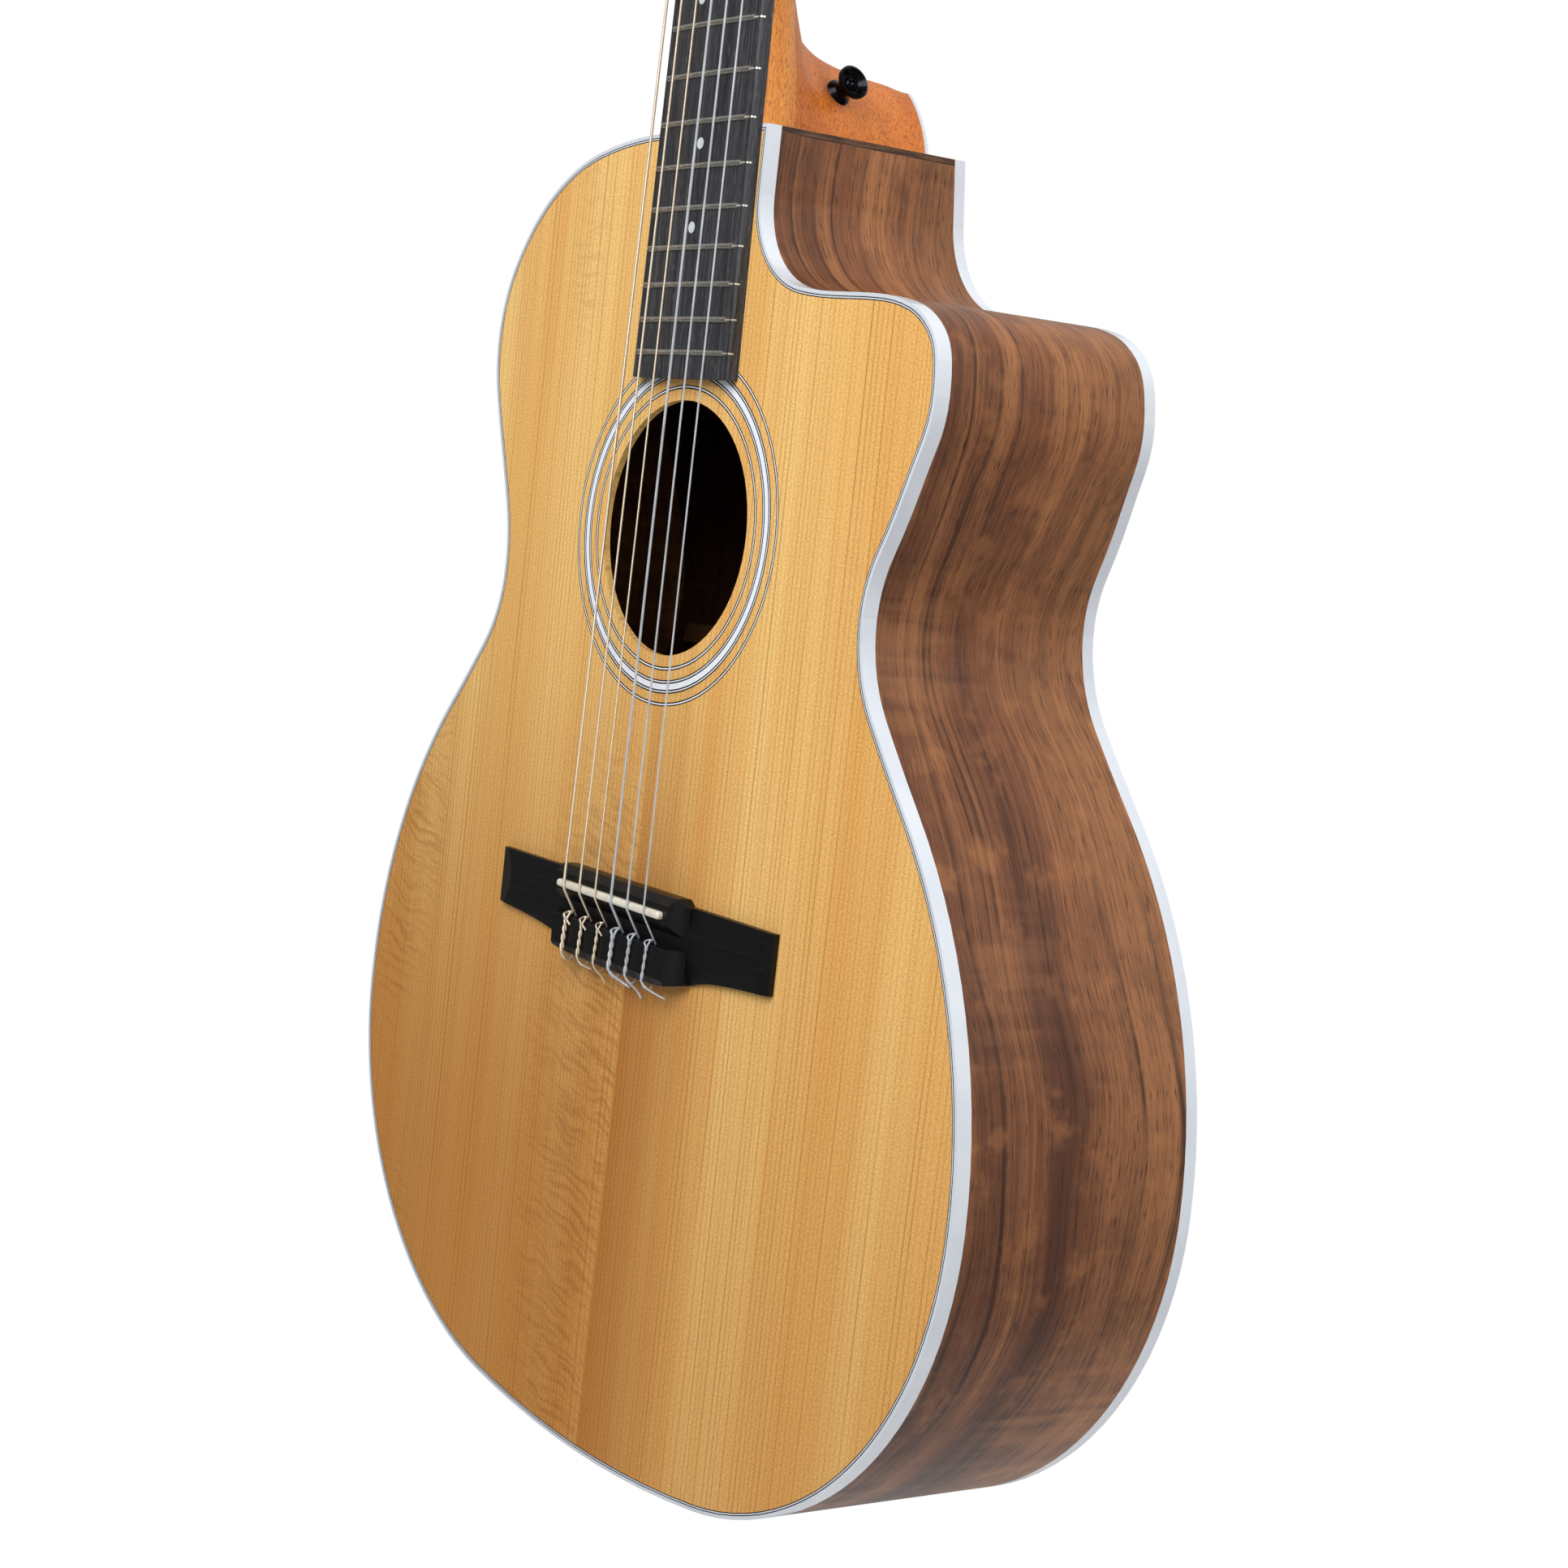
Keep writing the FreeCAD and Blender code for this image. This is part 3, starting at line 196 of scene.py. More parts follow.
def spruce_look(name, pale, deep, satin=0.42):
    """Straight-grained softwood: fine lines along z, flecks across them and a bookmatched seam."""
    look = Look(name, Roughness=satin, Specular_IOR_Level=0.3, Coat_Weight=0.06, Coat_Roughness=0.2)
    x, _, z = look.axes()
    drift = look.noise(look.stretched(7, 7, 2.2), detail=1.0)
    across = look.math("MULTIPLY_ADD", drift, 0.006, x)
    wide = look.noise(look.vector(look.math("MULTIPLY", across, 34), 0.0, look.math("MULTIPLY", z, 0.7)),
                      detail=3.0)
    pitch = look.math("MULTIPLY_ADD", wide, 26.0, look.math("MULTIPLY", across, 2 * math.pi / GRAIN_PITCH))
    line = look.math("POWER", look.math("MULTIPLY_ADD", look.math("SINE", pitch), 0.5, 0.5), 5.0)
    fade = look.noise(look.vector(look.math("MULTIPLY", across, 300), 5.0, look.math("MULTIPLY", z, 5)))
    year = look.noise(look.vector(look.math("MULTIPLY", across, 420), 8.0, look.math("MULTIPLY", z, 0.8)))
    line = look.math("MULTIPLY", line, look.span(fade, 0.3, 0.7, 0.3, 1.0))
    line = look.math("MULTIPLY", line, look.span(year, 0.32, 0.62, 0.25, 1.0))
    broad = look.noise(look.vector(look.math("MULTIPLY", across, 26), 2.0, look.math("MULTIPLY", z, 0.8)),
                       detail=4.0, roughness=0.6)
    colour = look.mix(look.span(broad, 0.3, 0.72), pale, deep)
    # painted shade: both halves are painted darker and redder low down, where less light falls: most beside
    # the seam, least at the right edge
    painted_shade_low_down = look.span(z, -0.56, -0.86)
    beside = look.math("MULTIPLY", look.span(x, 0.0, 0.0005), look.span(x, 0.004, 0.075, 1.0, 0.0))
    beside = look.math("MULTIPLY", beside, look.span(z, -0.52, -0.70))
    colour = look.mix(look.math("MULTIPLY", beside, 0.74), colour, rgb(172, 102, 34))
    # painted shade towards the lower left
    left = look.math("MULTIPLY", look.span(x, 0.02, -0.02), look.span(z, -0.48, -0.80))
    colour = look.mix(look.math("MULTIPLY", left, 0.66), colour, rgb(186, 118, 46))
    colour = look.mix(look.math("MULTIPLY", painted_shade_low_down, 0.34), colour, rgb(190, 120, 44))
    colour = look.mix(look.math("MULTIPLY", line, 0.60), colour, rgb(150, 86, 28))
    # silk: short ripples across the grain, strongest left of the seam
    wander = look.noise(look.stretched(30, 30, 30), detail=2.0)
    ripple = look.math("MULTIPLY_ADD", z, 420, look.math("MULTIPLY_ADD", x, 90,
                                                         look.math("MULTIPLY", wander, 9)))
    silk = look.noise(look.vector(look.math("MULTIPLY", x, 48), 1.0, ripple), detail=3.0)
    patch = look.math("MULTIPLY", look.span(x, -0.085, -0.015), look.span(x, 0.0005, -0.0005))
    patch = look.math("MULTIPLY", patch, look.span(z, -0.56, -0.66))
    patch = look.math("MAXIMUM", patch, look.span(look.noise(look.stretched(9, 9, 5)), 0.56, 0.75))
    silk = look.math("MULTIPLY", look.span(silk, 0.42, 0.66), patch)
    colour = look.mix(look.math("MULTIPLY", silk, 0.42), colour, rgb(148, 90, 36))
    fleck = look.noise(look.stretched(900, 900, 1300), detail=2.0, roughness=0.7)
    colour = look.mix(look.span(fleck, 0.25, 0.75, 0.0, 0.42), colour, rgb(160, 104, 50), "MULTIPLY")
    look.set("Base Color", colour)
    height = look.math("MULTIPLY_ADD", line, -0.6, fleck)
    return look.bump(height, 0.00006, 0.6)


NECK_END = -0.3634


def walnut_look(name, mirrored):
    """Brown hardwood with long dark streaks; mirrored is the back, whose two halves match at the seam."""
    look = Look(name, Roughness=0.42, Specular_IOR_Level=0.25)
    x, y, z = look.axes()
    across = look.math("ABSOLUTE", x) if mirrored else y
    along = z if mirrored else look.math("MULTIPLY_ADD", x, 0.35, z)
    sway = look.noise(look.stretched(5.5, 5.5, 4.5), detail=2.0)
    across = look.math("MULTIPLY_ADD", sway, 0.055, across)

    def strand(count, slow, seed, detail):
        source = look.vector(look.math("MULTIPLY", across, count), seed, look.math("MULTIPLY", along, slow))
        return look.noise(source, detail=detail, roughness=0.6)

    broad = strand(48, 1.4, 3.0, 3.0)
    colour = look.ramp(broad, [(0.30, rgb(58, 32, 22)), (0.42, rgb(94, 56, 37)),
                               (0.54, rgb(134, 85, 54)), (0.68, rgb(182, 124, 78))])
    # painted light and shade: the sides are painted paler towards the back edge and darker towards the front,
    # and all is painted darker low down, where the light falls off
    if not mirrored:
        colour = look.mix(look.span(y, 0.045, 0.10, 0.0, 0.42), colour, rgb(196, 136, 88))
        colour = look.mix(look.span(y, 0.045, 0.005, 0.0, 0.34), colour, rgb(66, 38, 28))
    colour = look.mix(look.span(z, -0.62, -0.84, 0.0, 0.40), colour, rgb(84, 50, 36))
    streak = look.span(strand(170, 3.0, 9.0, 3.0), 0.54, 0.68)
    colour = look.mix(look.math("MULTIPLY", streak, 0.88), colour, rgb(44, 24, 16))
    fine = strand(900, 14.0, 4.0, 2.0)
    colour = look.mix(look.span(fine, 0.35, 0.75, 0.0, 0.45), colour, rgb(96, 58, 36), "MULTIPLY")
    pore = look.span(strand(1900, 130.0, 6.0, 1.0), 0.55, 0.70)
    colour = look.mix(look.math("MULTIPLY", pore, 0.7), colour, rgb(46, 26, 18))
    mottle = look.noise(look.stretched(34, 60, 60), detail=3.0, roughness=0.6)
    colour = look.mix(look.span(mottle, 0.52, 0.72, 0.0, 0.30), colour, rgb(178, 118, 72))
    colour = look.mix(look.span(mottle, 0.48, 0.30, 0.0, 0.35), colour, rgb(70, 40, 28))
    # figure: soft bands across the grain that come and go
    bands = look.noise(look.vector(look.math("MULTIPLY", across, 14), 7.0,
                                   look.math("MULTIPLY", along, 150)), detail=2.0)
    where = look.span(look.noise(look.stretched(8, 8, 7), detail=1.0), 0.44, 0.60)
    bands = look.math("MULTIPLY", look.span(bands, 0.38, 0.66), where)
    colour = look.mix(look.math("MULTIPLY", bands, 0.20), colour, rgb(204, 142, 92))
    if mirrored:
        # painted shade: the inner face is painted darker, for the shade inside the closed body
        painted_shade_facing = look.axes(look.node("ShaderNodeNewGeometry").outputs["Normal"])[1]
        colour = look.mix(look.span(painted_shade_facing, -0.3, -0.6, 0.0, 0.8), colour, rgb(30, 20, 17))
    # the end of the side at the neck shows its thin plies
    end = look.span(z, NECK_END - 0.00005, NECK_END + 0.00005, smooth=False)
    ply = look.noise(look.vector(look.math("MULTIPLY", x, 60), look.math("MULTIPLY", y, 60),
                                 look.math("MULTIPLY", z, 1500)), detail=2.0)
    plies = look.mix(look.span(ply, 0.42, 0.6), rgb(58, 38, 27), rgb(100, 70, 50))
    colour = look.mix(end, colour, plies)
    look.set("Base Color", colour)
    return look.bump(look.math("SUBTRACT", fine, pore), 0.00005, 0.5)


def mahogany_look(name, pale, deep, pores=0.5):
    """Honey-orange hardwood with short open pores along z."""
    look = Look(name, Roughness=0.42, Specular_IOR_Level=0.35, Coat_Weight=0.05, Coat_Roughness=0.3)
    broad = look.noise(look.stretched(70, 70, 5), detail=3.0)
    colour = look.mix(look.span(broad, 0.3, 0.7), pale, deep)
    pore = look.span(look.noise(look.stretched(1500, 1500, 420), detail=1.0), 0.53, 0.68)
    colour = look.mix(look.math("MULTIPLY", pore, pores), colour, rgb(128, 66, 24))
    mottle = look.noise(look.stretched(900, 900, 600), detail=2.0, roughness=0.7)
    colour = look.mix(look.span(mottle, 0.3, 0.7, 0.0, 0.35), colour, rgb(190, 112, 48), "MULTIPLY")
    look.set("Base Color", colour)
    return look.bump(look.math("SUBTRACT", mottle, pore), 0.00006, 0.6)


def ebony_look(name, tones, lengthwise=True, satin=0.42):
    """Near-black wood with a fine lengthwise grain."""
    look = Look(name, Roughness=satin, Specular_IOR_Level=0.25)
    axis = (900, 900, 16) if lengthwise else (16, 900, 900)
    grain = look.noise(look.stretched(*axis), detail=3.0, roughness=0.65)
    colour = look.ramp(grain, [(0.3, tones[0]), (0.55, tones[1]), (0.75, tones[2])])
    pore = look.span(look.noise(look.stretched(axis[0] * 2.5, 2200, axis[2] * 12), detail=1.0), 0.62, 0.7)
    colour = look.mix(look.math("MULTIPLY", pore, 0.35), colour, tones[3])
    look.set("Base Color", colour)
    return look.bump(grain, 0.00008, 0.6)


# ------------------------------------------------------------------ other materials
def plain_look(name, colour, second, scale, roughness, bump=0.00002, **sockets):
    """A moulded or cast surface: two near tones in a soft cloud, and a trace of unevenness."""
    look = Look(name, **sockets)
    cloud = look.noise(look.stretched(scale, scale, scale), detail=3.0)
    look.set("Base Color", look.mix(look.span(cloud, 0.3, 0.7), colour, second))
    look.set("Roughness", look.span(cloud, 0.3, 0.7, roughness * 0.85, roughness * 1.15))
    return look.bump(cloud, bump, 0.4)


def metal_look(name, colour, second, roughness, fine=3000):
    """Plated or drawn metal with a faint brushed trace."""
    look = Look(name, Metallic=1.0)
    trace = look.noise(look.stretched(fine, fine / 40, fine), detail=2.0)
    look.set("Base Color", look.mix(trace, colour, second))
    look.set("Roughness", look.span(trace, 0.3, 0.7, roughness * 0.7, roughness * 1.4))
    return look.bump(trace, 0.00001, 0.3)


# where each tone of the rosette starts, as a radius in millimetres: b black, w white, s the top's wood
RINGS = [("s", 0), ("b", 51.95), ("w", 52.45), ("b", 52.95), ("s", 53.45),
         ("b", 56.9), ("w", 57.45), ("b", 57.85), ("w", 58.4), ("b", 60.6), ("w", 61.15), ("b", 61.55),
         ("s", 62.1), ("b", 65.35), ("w", 65.85), ("b", 66.35), ("s", 66.85)]


def rosette_look(pale, deep):
    """Black and white lines let into the top's wood, by distance from the soundhole's middle."""
    low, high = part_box("rosette_rings")
    look = spruce_look("rosette", pale, deep)
    wood = look.shader.inputs["Base Color"].links[0].from_socket
    x, _, z = look.axes()
    up = look.math("ADD", z, -(low.z + high.z) / 2)
    square = look.math("MULTIPLY_ADD", x, x, look.math("MULTIPLY", up, up))
    radius = look.math("MULTIPLY", look.math("SQRT", square), 1000)
    start, stop = 50.0, 68.0
    share = look.span(radius, start, stop, smooth=False)
    places = [max(0.0, (mm - start) / (stop - start)) for _, mm in RINGS]
    inks = {"b": rgb(16, 14, 17), "w": rgb(232, 236, 242), "s": rgb(0, 0, 0)}
    solid = {"b": rgb(255, 255, 255), "w": rgb(255, 255, 255), "s": rgb(0, 0, 0)}
    lines = look.ramp(share, [(p, inks[tone]) for p, (tone, _) in zip(places, RINGS)], "CONSTANT")
    inlaid = look.ramp(share, [(p, solid[tone]) for p, (tone, _) in zip(places, RINGS)], "CONSTANT")
    look.set("Base Color", look.mix(inlaid, wood, lines))
    return look


WINDING_PITCH = 0.00034


def wound_look():
    """Silver-plated winding: fine turns across the string, each painted lighter on its crest and darker in
    the groove, as painted highlight and shade.
    """
    look = Look("wound_string", Metallic=0.55)
    _, _, z = look.axes()
    turns = look.math("SINE", look.math("MULTIPLY", z, 2 * math.pi / WINDING_PITCH))
    wear = look.noise(look.stretched(200, 200, 60), detail=2.0)
    # painted highlight and shade: lighter on the crest of each turn and darker in the grooves between them
    colour = look.mix(look.span(turns, -1, 1), rgb(196, 178, 150), rgb(252, 242, 224))
    look.set("Base Color", look.mix(look.math("MULTIPLY", wear, 0.25), colour, rgb(205, 175, 130)))
    look.set("Roughness", look.span(wear, 0.3, 0.7, 0.28, 0.42))
    return look.bump(turns, 0.00004, 0.6)


def button_look():
    """Cream moulded knobs with soft clouded bands."""
    look = Look("button_plastic", Roughness=0.22, Coat_Weight=0.5, Subsurface_Weight=0.1)
    look.shader.inputs["Subsurface Radius"].default_value = (0.002, 0.0015, 0.001)
    cloud = look.noise(look.stretched(160, 420, 160), detail=3.0, roughness=0.6)
    look.set("Base Color", look.ramp(cloud, [(0.3, rgb(205, 192, 165)), (0.5, rgb(232, 224, 202)),
                                             (0.7, rgb(246, 241, 228))]))
    return look.bump(cloud, 0.00003, 0.3)


TOP_TONES = rgb(254, 214, 136), rgb(238, 182, 102)
LOOKS = {
    "spruce": spruce_look("spruce", *TOP_TONES),
    "walnut": walnut_look("walnut", False),
    "mahogany": mahogany_look("mahogany", rgb(240, 160, 74), rgb(218, 136, 56)),
    "ebony": ebony_look("ebony", [rgb(30, 30, 32), rgb(58, 58, 61), rgb(88, 88, 92), rgb(112, 112, 116)]),
    "maple": plain_look("maple", rgb(214, 178, 128), rgb(196, 158, 108), 260, 0.5),
    "binding": plain_look("binding", rgb(214, 219, 226), rgb(206, 211, 219), 40, 0.26,
                          Coat_Weight=0.4, Coat_Roughness=0.12),
    "inlay": plain_look("inlay", rgb(24, 22, 24), rgb(40, 36, 36), 800, 0.4),
    "fret_wire": metal_look("fret_wire", rgb(214, 208, 196), rgb(240, 236, 228), 0.22),
    "marker": plain_look("marker", rgb(224, 226, 224), rgb(200, 208, 214), 900, 0.25, Coat_Weight=0.4),
    "bone": plain_look("bone", rgb(226, 222, 208), rgb(208, 202, 186), 300, 0.35, Coat_Weight=0.2),
    "nylon": plain_look("nylon", rgb(196, 202, 210), rgb(216, 222, 228), 120, 0.15,
                        Transmission_Weight=0.35, IOR=1.5),
    "wound_string": wound_look(),
    "plated_metal": metal_look("plated_metal", rgb(205, 207, 212), rgb(232, 233, 236), 0.18),
    "roller_sleeve": plain_look("roller_sleeve", rgb(226, 221, 206), rgb(208, 203, 188), 200, 0.35),
    "brass_gear": metal_look("brass_gear", rgb(196, 158, 88), rgb(222, 188, 118), 0.28),
    "button_plastic": button_look(),
    "black_metal": metal_look("black_metal", rgb(16, 16, 18), rgb(34, 34, 38), 0.16, 1500),
}
# a darker copy of the mahogany for the parts inside the body: painted shade
SHADED_INSIDE_WOOD = mahogany_look("mahogany_painted_shade_inside", rgb(74, 46, 28), rgb(56, 35, 22))
SPECIAL = {
    "neck_block": SHADED_INSIDE_WOOD,
    "lining_top": SHADED_INSIDE_WOOD,
    "lining_back": SHADED_INSIDE_WOOD,
    "back_plate": walnut_look("walnut_back", True),
    "rosette_rings": rosette_look(*TOP_TONES),
    "heel_block": mahogany_look("mahogany_heel", rgb(226, 134, 54), rgb(200, 112, 42), 0.62),
    "bridge": ebony_look("ebony_bridge", [rgb(8, 8, 9), rgb(14, 13, 14), rgb(24, 22, 22), rgb(44, 40, 40)],
                         False, 0.36),
    # darker copies of the spruce for the braces inside the body: painted shade, darkest on the back
    "top_braces": spruce_look("spruce_braces_painted_shade", rgb(190, 152, 98), rgb(168, 130, 78), 0.6),
    "back_braces": spruce_look("spruce_back_braces_painted_shade", rgb(104, 78, 52), rgb(86, 62, 40), 0.6),
}
for part in frame["record"]["subparts"]:
    shown = frame["nodes"][part["node"]]
    look = SPECIAL.get(part["node"]) or LOOKS[part["material_slot"]]
    for place in shown.material_slots:
        place.material = look.material


# ------------------------------------------------------------------ mesh tools
def mesh_piece(name, points, faces, body, look, smooth=True):
    mesh = bpy.data.meshes.new(name)
    mesh.from_pydata([tuple(p) for p in points], [], faces)
    mesh.validate()
    mesh.polygons.foreach_set("use_smooth", [smooth] * len(mesh.polygons))
    mesh.materials.append(look.material)
    made = bpy.data.objects.new(name, mesh)
    scene.collection.objects.link(made)
    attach(made, body)
    return made


def eased(points, steps):
    """Points on a smooth line through the given ones."""
    points = [Vector(p) for p in points]
    padded = [2 * points[0] - points[1]] + points + [2 * points[-1] - points[-2]]
    line = []
    for a, b, c, d in zip(padded, padded[1:], padded[2:], padded[3:]):
        for k in range(steps):
            t = k / steps
            line.append(0.5 * (2 * b + (c - a) * t + (2 * a - 5 * b + 4 * c - d) * t ** 2
                               + (3 * b - a - 3 * c + d) * t ** 3))
    return line + [points[-1]]


def tube_mesh(line, radius, sides=10):
    """Points and faces of a round tube along a line, closed at both ends."""
    points, faces = [], []
    side = None
    for k, here in enumerate(line):
        ahead = (line[min(k + 1, len(line) - 1)] - line[max(k - 1, 0)]).normalized()
        if side is None:
            side = ahead.orthogonal().normalized()
        side = (side - ahead * side.dot(ahead)).normalized()
        other = ahead.cross(side)
        for s in range(sides):
            angle = 2 * math.pi * s / sides
            points.append(here + radius * (math.cos(angle) * side + math.sin(angle) * other))
        if k:
            for s in range(sides):
                a, b = (k - 1) * sides + s, (k - 1) * sides + (s + 1) % sides
                faces.append((a, b, b + sides, a + sides))
    last = len(points) - sides
    faces.append(tuple(range(sides))[::-1])
    faces.append(tuple(range(last, last + sides)))
    return points, faces


def merged(parts):
    """Several meshes as one list of points and faces."""
    points, faces = [], []
    for new_points, new_faces in parts:
        shift = len(points)
        points += new_points
        faces += [tuple(i + shift for i in face) for face in new_faces]
    return points, faces


# ------------------------------------------------------------------ white line of the purfling
def front_loops(mesh):
    """The edges of the mesh's front face, as closed loops of places."""
    owners = {}
    for face in mesh.polygons:
        if face.normal.y < -0.9:
            for pair in face.edge_keys:
                owners.setdefault(pair, []).append(face.index)
    beside = {}
    for pair, faces in owners.items():
        if len(faces) == 1:
            for here, there in (pair, pair[::-1]):
                beside.setdefault(here, []).append(there)
    loops = []
    while beside:
        start = min(beside)
        loop, here = [], start
        while here in beside:
            loop.append(mesh.vertices[here].co.copy())
            here = next((n for n in beside.pop(here) if n in beside), None)
        loops.append(loop)
    return sorted(loops, key=len, reverse=True)[:2]


def nearest_on(loop, place):
    """The point of a closed loop that is nearest to a place."""
    best = None
    for a, b in zip(loop, loop[1:] + loop[:1]):
        along = b - a
        share = min(1.0, max(0.0, (place - a).dot(along) / max(along.length_squared, 1e-12)))
        point = a + along * share
        if best is None or (point - place).length < (best - place).length:
            best = point
    return best


LINE_SHARES = 0.32, 0.68
LINE_FRONT, LINE_BACK = -0.00004, 0.0003


def purfling_line():
    """The thin white strip between the two black ones, by its shares of the way across the purfling."""
    first, second = front_loops(frame["nodes"]["purfling"].data)
    start, stop = LINE_SHARES
    section = ((start, LINE_FRONT), (stop, LINE_FRONT), (stop, LINE_BACK), (start, LINE_BACK))
    points, faces = [], []
    for place in first:
        other = nearest_on(second, place)
        for share, depth in section:
            spot = place.lerp(other, share)
            points.append(Vector((spot.x, depth, spot.z)))
    count = len(first)
    for k in range(count):
        a, b = 4 * k, 4 * ((k + 1) % count)
        for s in range(4):
            t = (s + 1) % 4
            faces.append((a + s, a + t, b + t, b + s))
    mesh_piece("purfling_line", points, faces, "guitar", LOOKS["binding"], smooth=False)


purfling_line()


# ------------------------------------------------------------------ string ends at the bridge
# millimetres from here on, until a mesh is made
DIAMETERS = {6: 1.09, 5: 0.89, 4: 0.74, 3: 1.02, 2: 0.82, 1: 0.71}
MM = 0.001
BLOCK_TOP = -9.5
TIE_FRONT, TIE_BACK = -662.2, -676.2
TIE_LEAN = 1.2
TIE_TURNS = 2.0
# how far each loose end reaches past the bridge, and how much it leans towards the treble side
TAILS = {6: (1.2, -2.0), 5: (1.5, 3.0), 4: (5.2, 1.4), 3: (3.0, 7.5), 2: (5.5, 4.5), 1: (2.4, 9.0)}


def string_look(number):
    kind = "wound_string" if number > 3 else "nylon"
    return kind, LOOKS[kind]


def tie(number):
    """The loop that ties a string: over the block, round the string and twisted back."""
    mesh = frame["nodes"]["string_%d" % number].data
    end = min(v.co.z for v in mesh.vertices)
    ring = [v.co for v in mesh.vertices if v.co.z < end + 0.0004]
    x = sum(p.x for p in ring) / len(ring) / MM
    radius = DIAMETERS[number] / 2
    lift = BLOCK_TOP - radius - 0.05
    lean = TIE_LEAN

    def strand(phase, start, stop, count=26):
        """One of the two strands twisted together on top of the block."""
        line = []
        for k in range(count + 1):
            t = start + (stop - start) * k / count
            angle = phase + 2 * math.pi * TIE_TURNS * t
            z = TIE_FRONT + (TIE_BACK - TIE_FRONT) * t
            off = radius * 1.04
            line.append(Vector((x + lean * (1 - t) + off * math.cos(angle),
                                lift - 0.85 * radius + 0.75 * off * math.sin(angle), z)))
        return line

    outgoing = strand(0.0, 1.0, 0.02)
    riser = [Vector((x, -5.2, -676.6)), Vector((x + 0.1, -5.6, -678.6)),
             Vector((x + 0.5 * radius, -8.2, -678.9))]
    collar = [Vector((x + lean + 1.3 * radius, lift + 0.6, TIE_FRONT + 1.6)),
              Vector((x + 0.9 + radius, -8.0, TIE_FRONT + 2.0)),
              Vector((x - 0.2, -7.2, TIE_FRONT + 1.9)),
              Vector((x - 0.9 - radius, -8.6, TIE_FRONT + 1.5)),
              Vector((x - 0.2, lift - 1.3 * radius, TIE_FRONT + 0.9))]
    returning = strand(math.pi, 0.03, 0.97)
    reach, aside = TAILS[number]
    tail = [Vector((x + 0.25 * aside, -9.2, TIE_BACK - 1.8)),
            Vector((x + 0.6 * aside, -7.4 + 0.3 * reach, TIE_BACK - 2.2 - 0.55 * reach)),
            Vector((x + aside, -4.6, TIE_BACK - 2.4 - reach))]
    route = riser + outgoing + collar + returning + tail
    line = [p * MM for p in eased(route, 3)]
    parts = [tube_mesh(line, radius * MM, 9)]
    if number > 3:
        # the wound ones show a short cut end beside the knot as well
        stub = [Vector((x + lean, lift - 1.6 * radius, TIE_FRONT - 0.6)),
                Vector((x + lean + 1.5, lift - 1.9 * radius, TIE_FRONT - 0.9)),
                Vector((x + lean + 3.3, lift - 1.0 * radius, TIE_FRONT - 2.4))]
        parts.append(tube_mesh([p * MM for p in eased(stub, 5)], radius * 0.9 * MM, 9))
    points, faces = merged(parts)
    kind, look = string_look(number)
    mesh_piece("string_tie_%d" % number, points, faces, "guitar", look)


for number in DIAMETERS:
    tie(number)


# ------------------------------------------------------------------ headstock pieces
HEAD_TILT = 15
HEAD_Y, HEAD_Z = 1, 5
FIRST_ROLLER, ROLLER_SPACING = 42.0, 35.0
AXIS_DEPTH = 9.5
ROLLER_RADIUS = 5.04
WRAP_TURNS = 3.4
WRAP_START = 17.0
WORM_X, WORM_UP = 40.0, 9.3
WORM_LEAD = 2.69
WORM_CORE, WORM_CREST = 2.25, 2.72
WORM_LOW, WORM_HIGH = 4.3, 14.7


def on_head(x, y, z):
    """A point given in the headstock's own axes, in millimetres, as a place in the model."""
    angle = math.radians(HEAD_TILT)
    return Vector((x, HEAD_Y + y * math.cos(angle) + z * math.sin(angle),
                   HEAD_Z - y * math.sin(angle) + z * math.cos(angle))) * MM


def station(number):
    """How far up the headstock a string's roller is."""
    return FIRST_ROLLER + ROLLER_SPACING * min(6 - number, number - 1)


def side_of(number):
    """-1 for a bass string and 1 for a treble one."""
    return -1 if number > 3 else 1


def wraps(number):
    """The turns of a string on its roller, from where it lands to the hole that holds it."""
    radius, up, side = DIAMETERS[number] / 2, station(number), side_of(number)
    reach = ROLLER_RADIUS + radius
    line = []
    steps = int(WRAP_TURNS * 28)
    for k in range(steps + 1):
        turned = WRAP_TURNS * k / steps
        angle = 2 * math.pi * turned
        x = WRAP_START - (2 * radius + 0.08) * turned
        line.append(on_head(side * x, AXIS_DEPTH - reach * math.cos(angle), up + reach * math.sin(angle)))
    kind, look = string_look(number)
    points, faces = tube_mesh(line, radius * MM, 10)
    mesh_piece("string_wraps_%d" % number, points, faces, "roller_%d" % number, look)


def worm_thread(number):
    """The worm's thread: a right-hand ridge round the core of the shaft."""
    up, side = station(number) + WORM_UP, side_of(number)
    steps = int((WORM_HIGH - WORM_LOW) / WORM_LEAD * 36)
    points, faces = [], []
    for k in range(steps + 1):
        y = WORM_LOW + (WORM_HIGH - WORM_LOW) * k / steps
        angle = 2 * math.pi * y / WORM_LEAD
        fade = min(1.0, 10.0 * k / steps, 10.0 * (steps - k) / steps)
        ridge = WORM_CORE + (WORM_CREST - WORM_CORE) * fade
        for reach, shift in ((WORM_CORE, -0.62), (ridge, -0.28), (ridge, 0.28), (WORM_CORE, 0.62)):
            points.append(on_head(side * WORM_X + reach * math.cos(angle), y + shift,
                                  up - reach * math.sin(angle)))
        if k:
            a = (k - 1) * 4
            for s in range(4):
                b = (s + 1) % 4
                faces.append((a + s, a + b, a + b + 4, a + s + 4))
    faces.append((3, 2, 1, 0))
    last = len(points) - 4
    faces.append((last, last + 1, last + 2, last + 3))
    mesh_piece("worm_thread_%d" % number, points, faces, "tuner_%d" % number,
               LOOKS["plated_metal"])


for number in DIAMETERS:
    wraps(number)
    worm_thread(number)


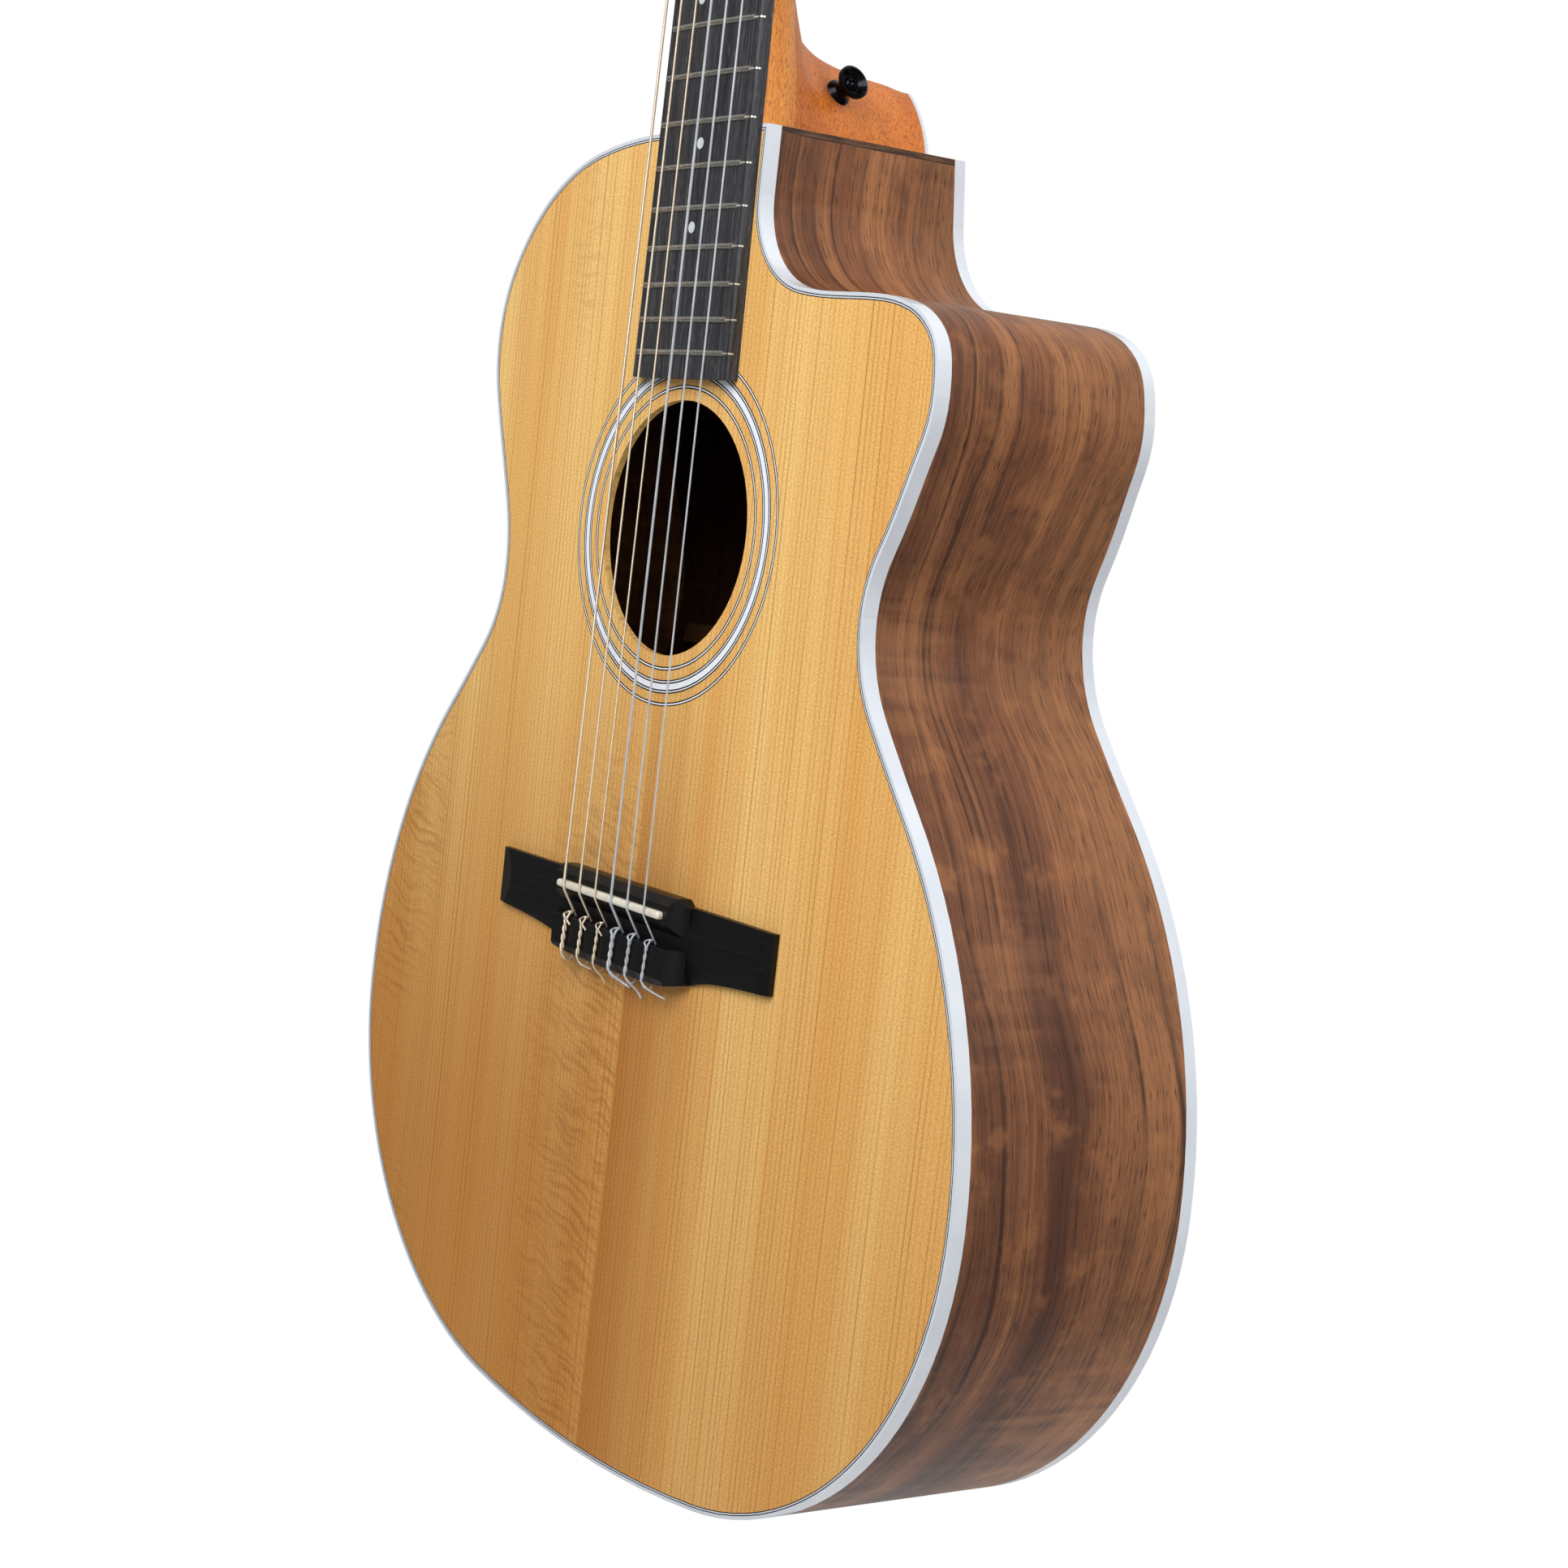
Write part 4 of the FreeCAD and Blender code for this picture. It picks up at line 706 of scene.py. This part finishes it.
# ------------------------------------------------------------------ floor and light
def floor_look():
    look = Look("floor", Roughness=0.6)
    cloud = look.noise(look.stretched(3, 3, 3))
    look.set("Base Color", look.mix(cloud, rgb(250, 250, 250), rgb(255, 255, 255)))
    return look


FLOOR_DROP, FLOOR_RADIUS = 0.88, 1.5
lowest, _ = cad_box
bpy.ops.mesh.primitive_circle_add(vertices=96, radius=FLOOR_RADIUS, fill_type="NGON",
                                  location=(0, 0, lowest.z - FLOOR_DROP))
floor = bpy.context.active_object
floor.name = "floor"
floor.data.materials.append(floor_look().material)


def studio():
    """White all round to look at; as a light it is brightest above and weakest at the lower left."""
    world = bpy.data.worlds.new("studio")
    world.use_nodes = True
    tree = world.node_tree
    background = tree.nodes["Background"]

    def maths(operation, *values):
        node = tree.nodes.new("ShaderNodeMath")
        node.operation = operation
        for value, socket in zip(values, node.inputs):
            if isinstance(value, bpy.types.NodeSocket):
                tree.links.new(value, socket)
            else:
                socket.default_value = value
        return node.outputs[0]

    split = tree.nodes.new("ShaderNodeSeparateXYZ")
    tree.links.new(tree.nodes.new("ShaderNodeTexCoord").outputs["Generated"], split.inputs[0])
    x, y, z = split.outputs
    upward = maths("MULTIPLY_ADD", z, 0.34, 0.5)
    front_left = maths("MAXIMUM", maths("ADD", maths("MULTIPLY", x, -0.84), maths("MULTIPLY", y, -0.54)), 0.0)
    strength = maths("MULTIPLY", upward, maths("MULTIPLY_ADD", front_left, -0.72, 1.0))
    seen = tree.nodes.new("ShaderNodeLightPath").outputs["Is Camera Ray"]
    tree.links.new(maths("MAXIMUM", strength, seen), background.inputs["Strength"])
    background.inputs["Color"].default_value = (1.0, 1.0, 1.0, 1.0)
    return world


scene.world = studio()


def soft_light(name, place, aim, size, power):
    light = bpy.data.objects.new(name, bpy.data.lights.new(name, "AREA"))
    light.data.size = size
    light.data.energy = power
    light.location = place
    light.rotation_mode = "QUATERNION"
    light.rotation_quaternion = (Vector(aim) - Vector(place)).to_track_quat("-Z", "Y")
    scene.collection.objects.link(light)


soft_light("key", (0.45, -1.0, 0.25), (0, 0, -0.4), 0.9, 17)
soft_light("side", (2.0, 0.5, 0.5), (0.1, 0.05, -0.5), 1.2, 14)
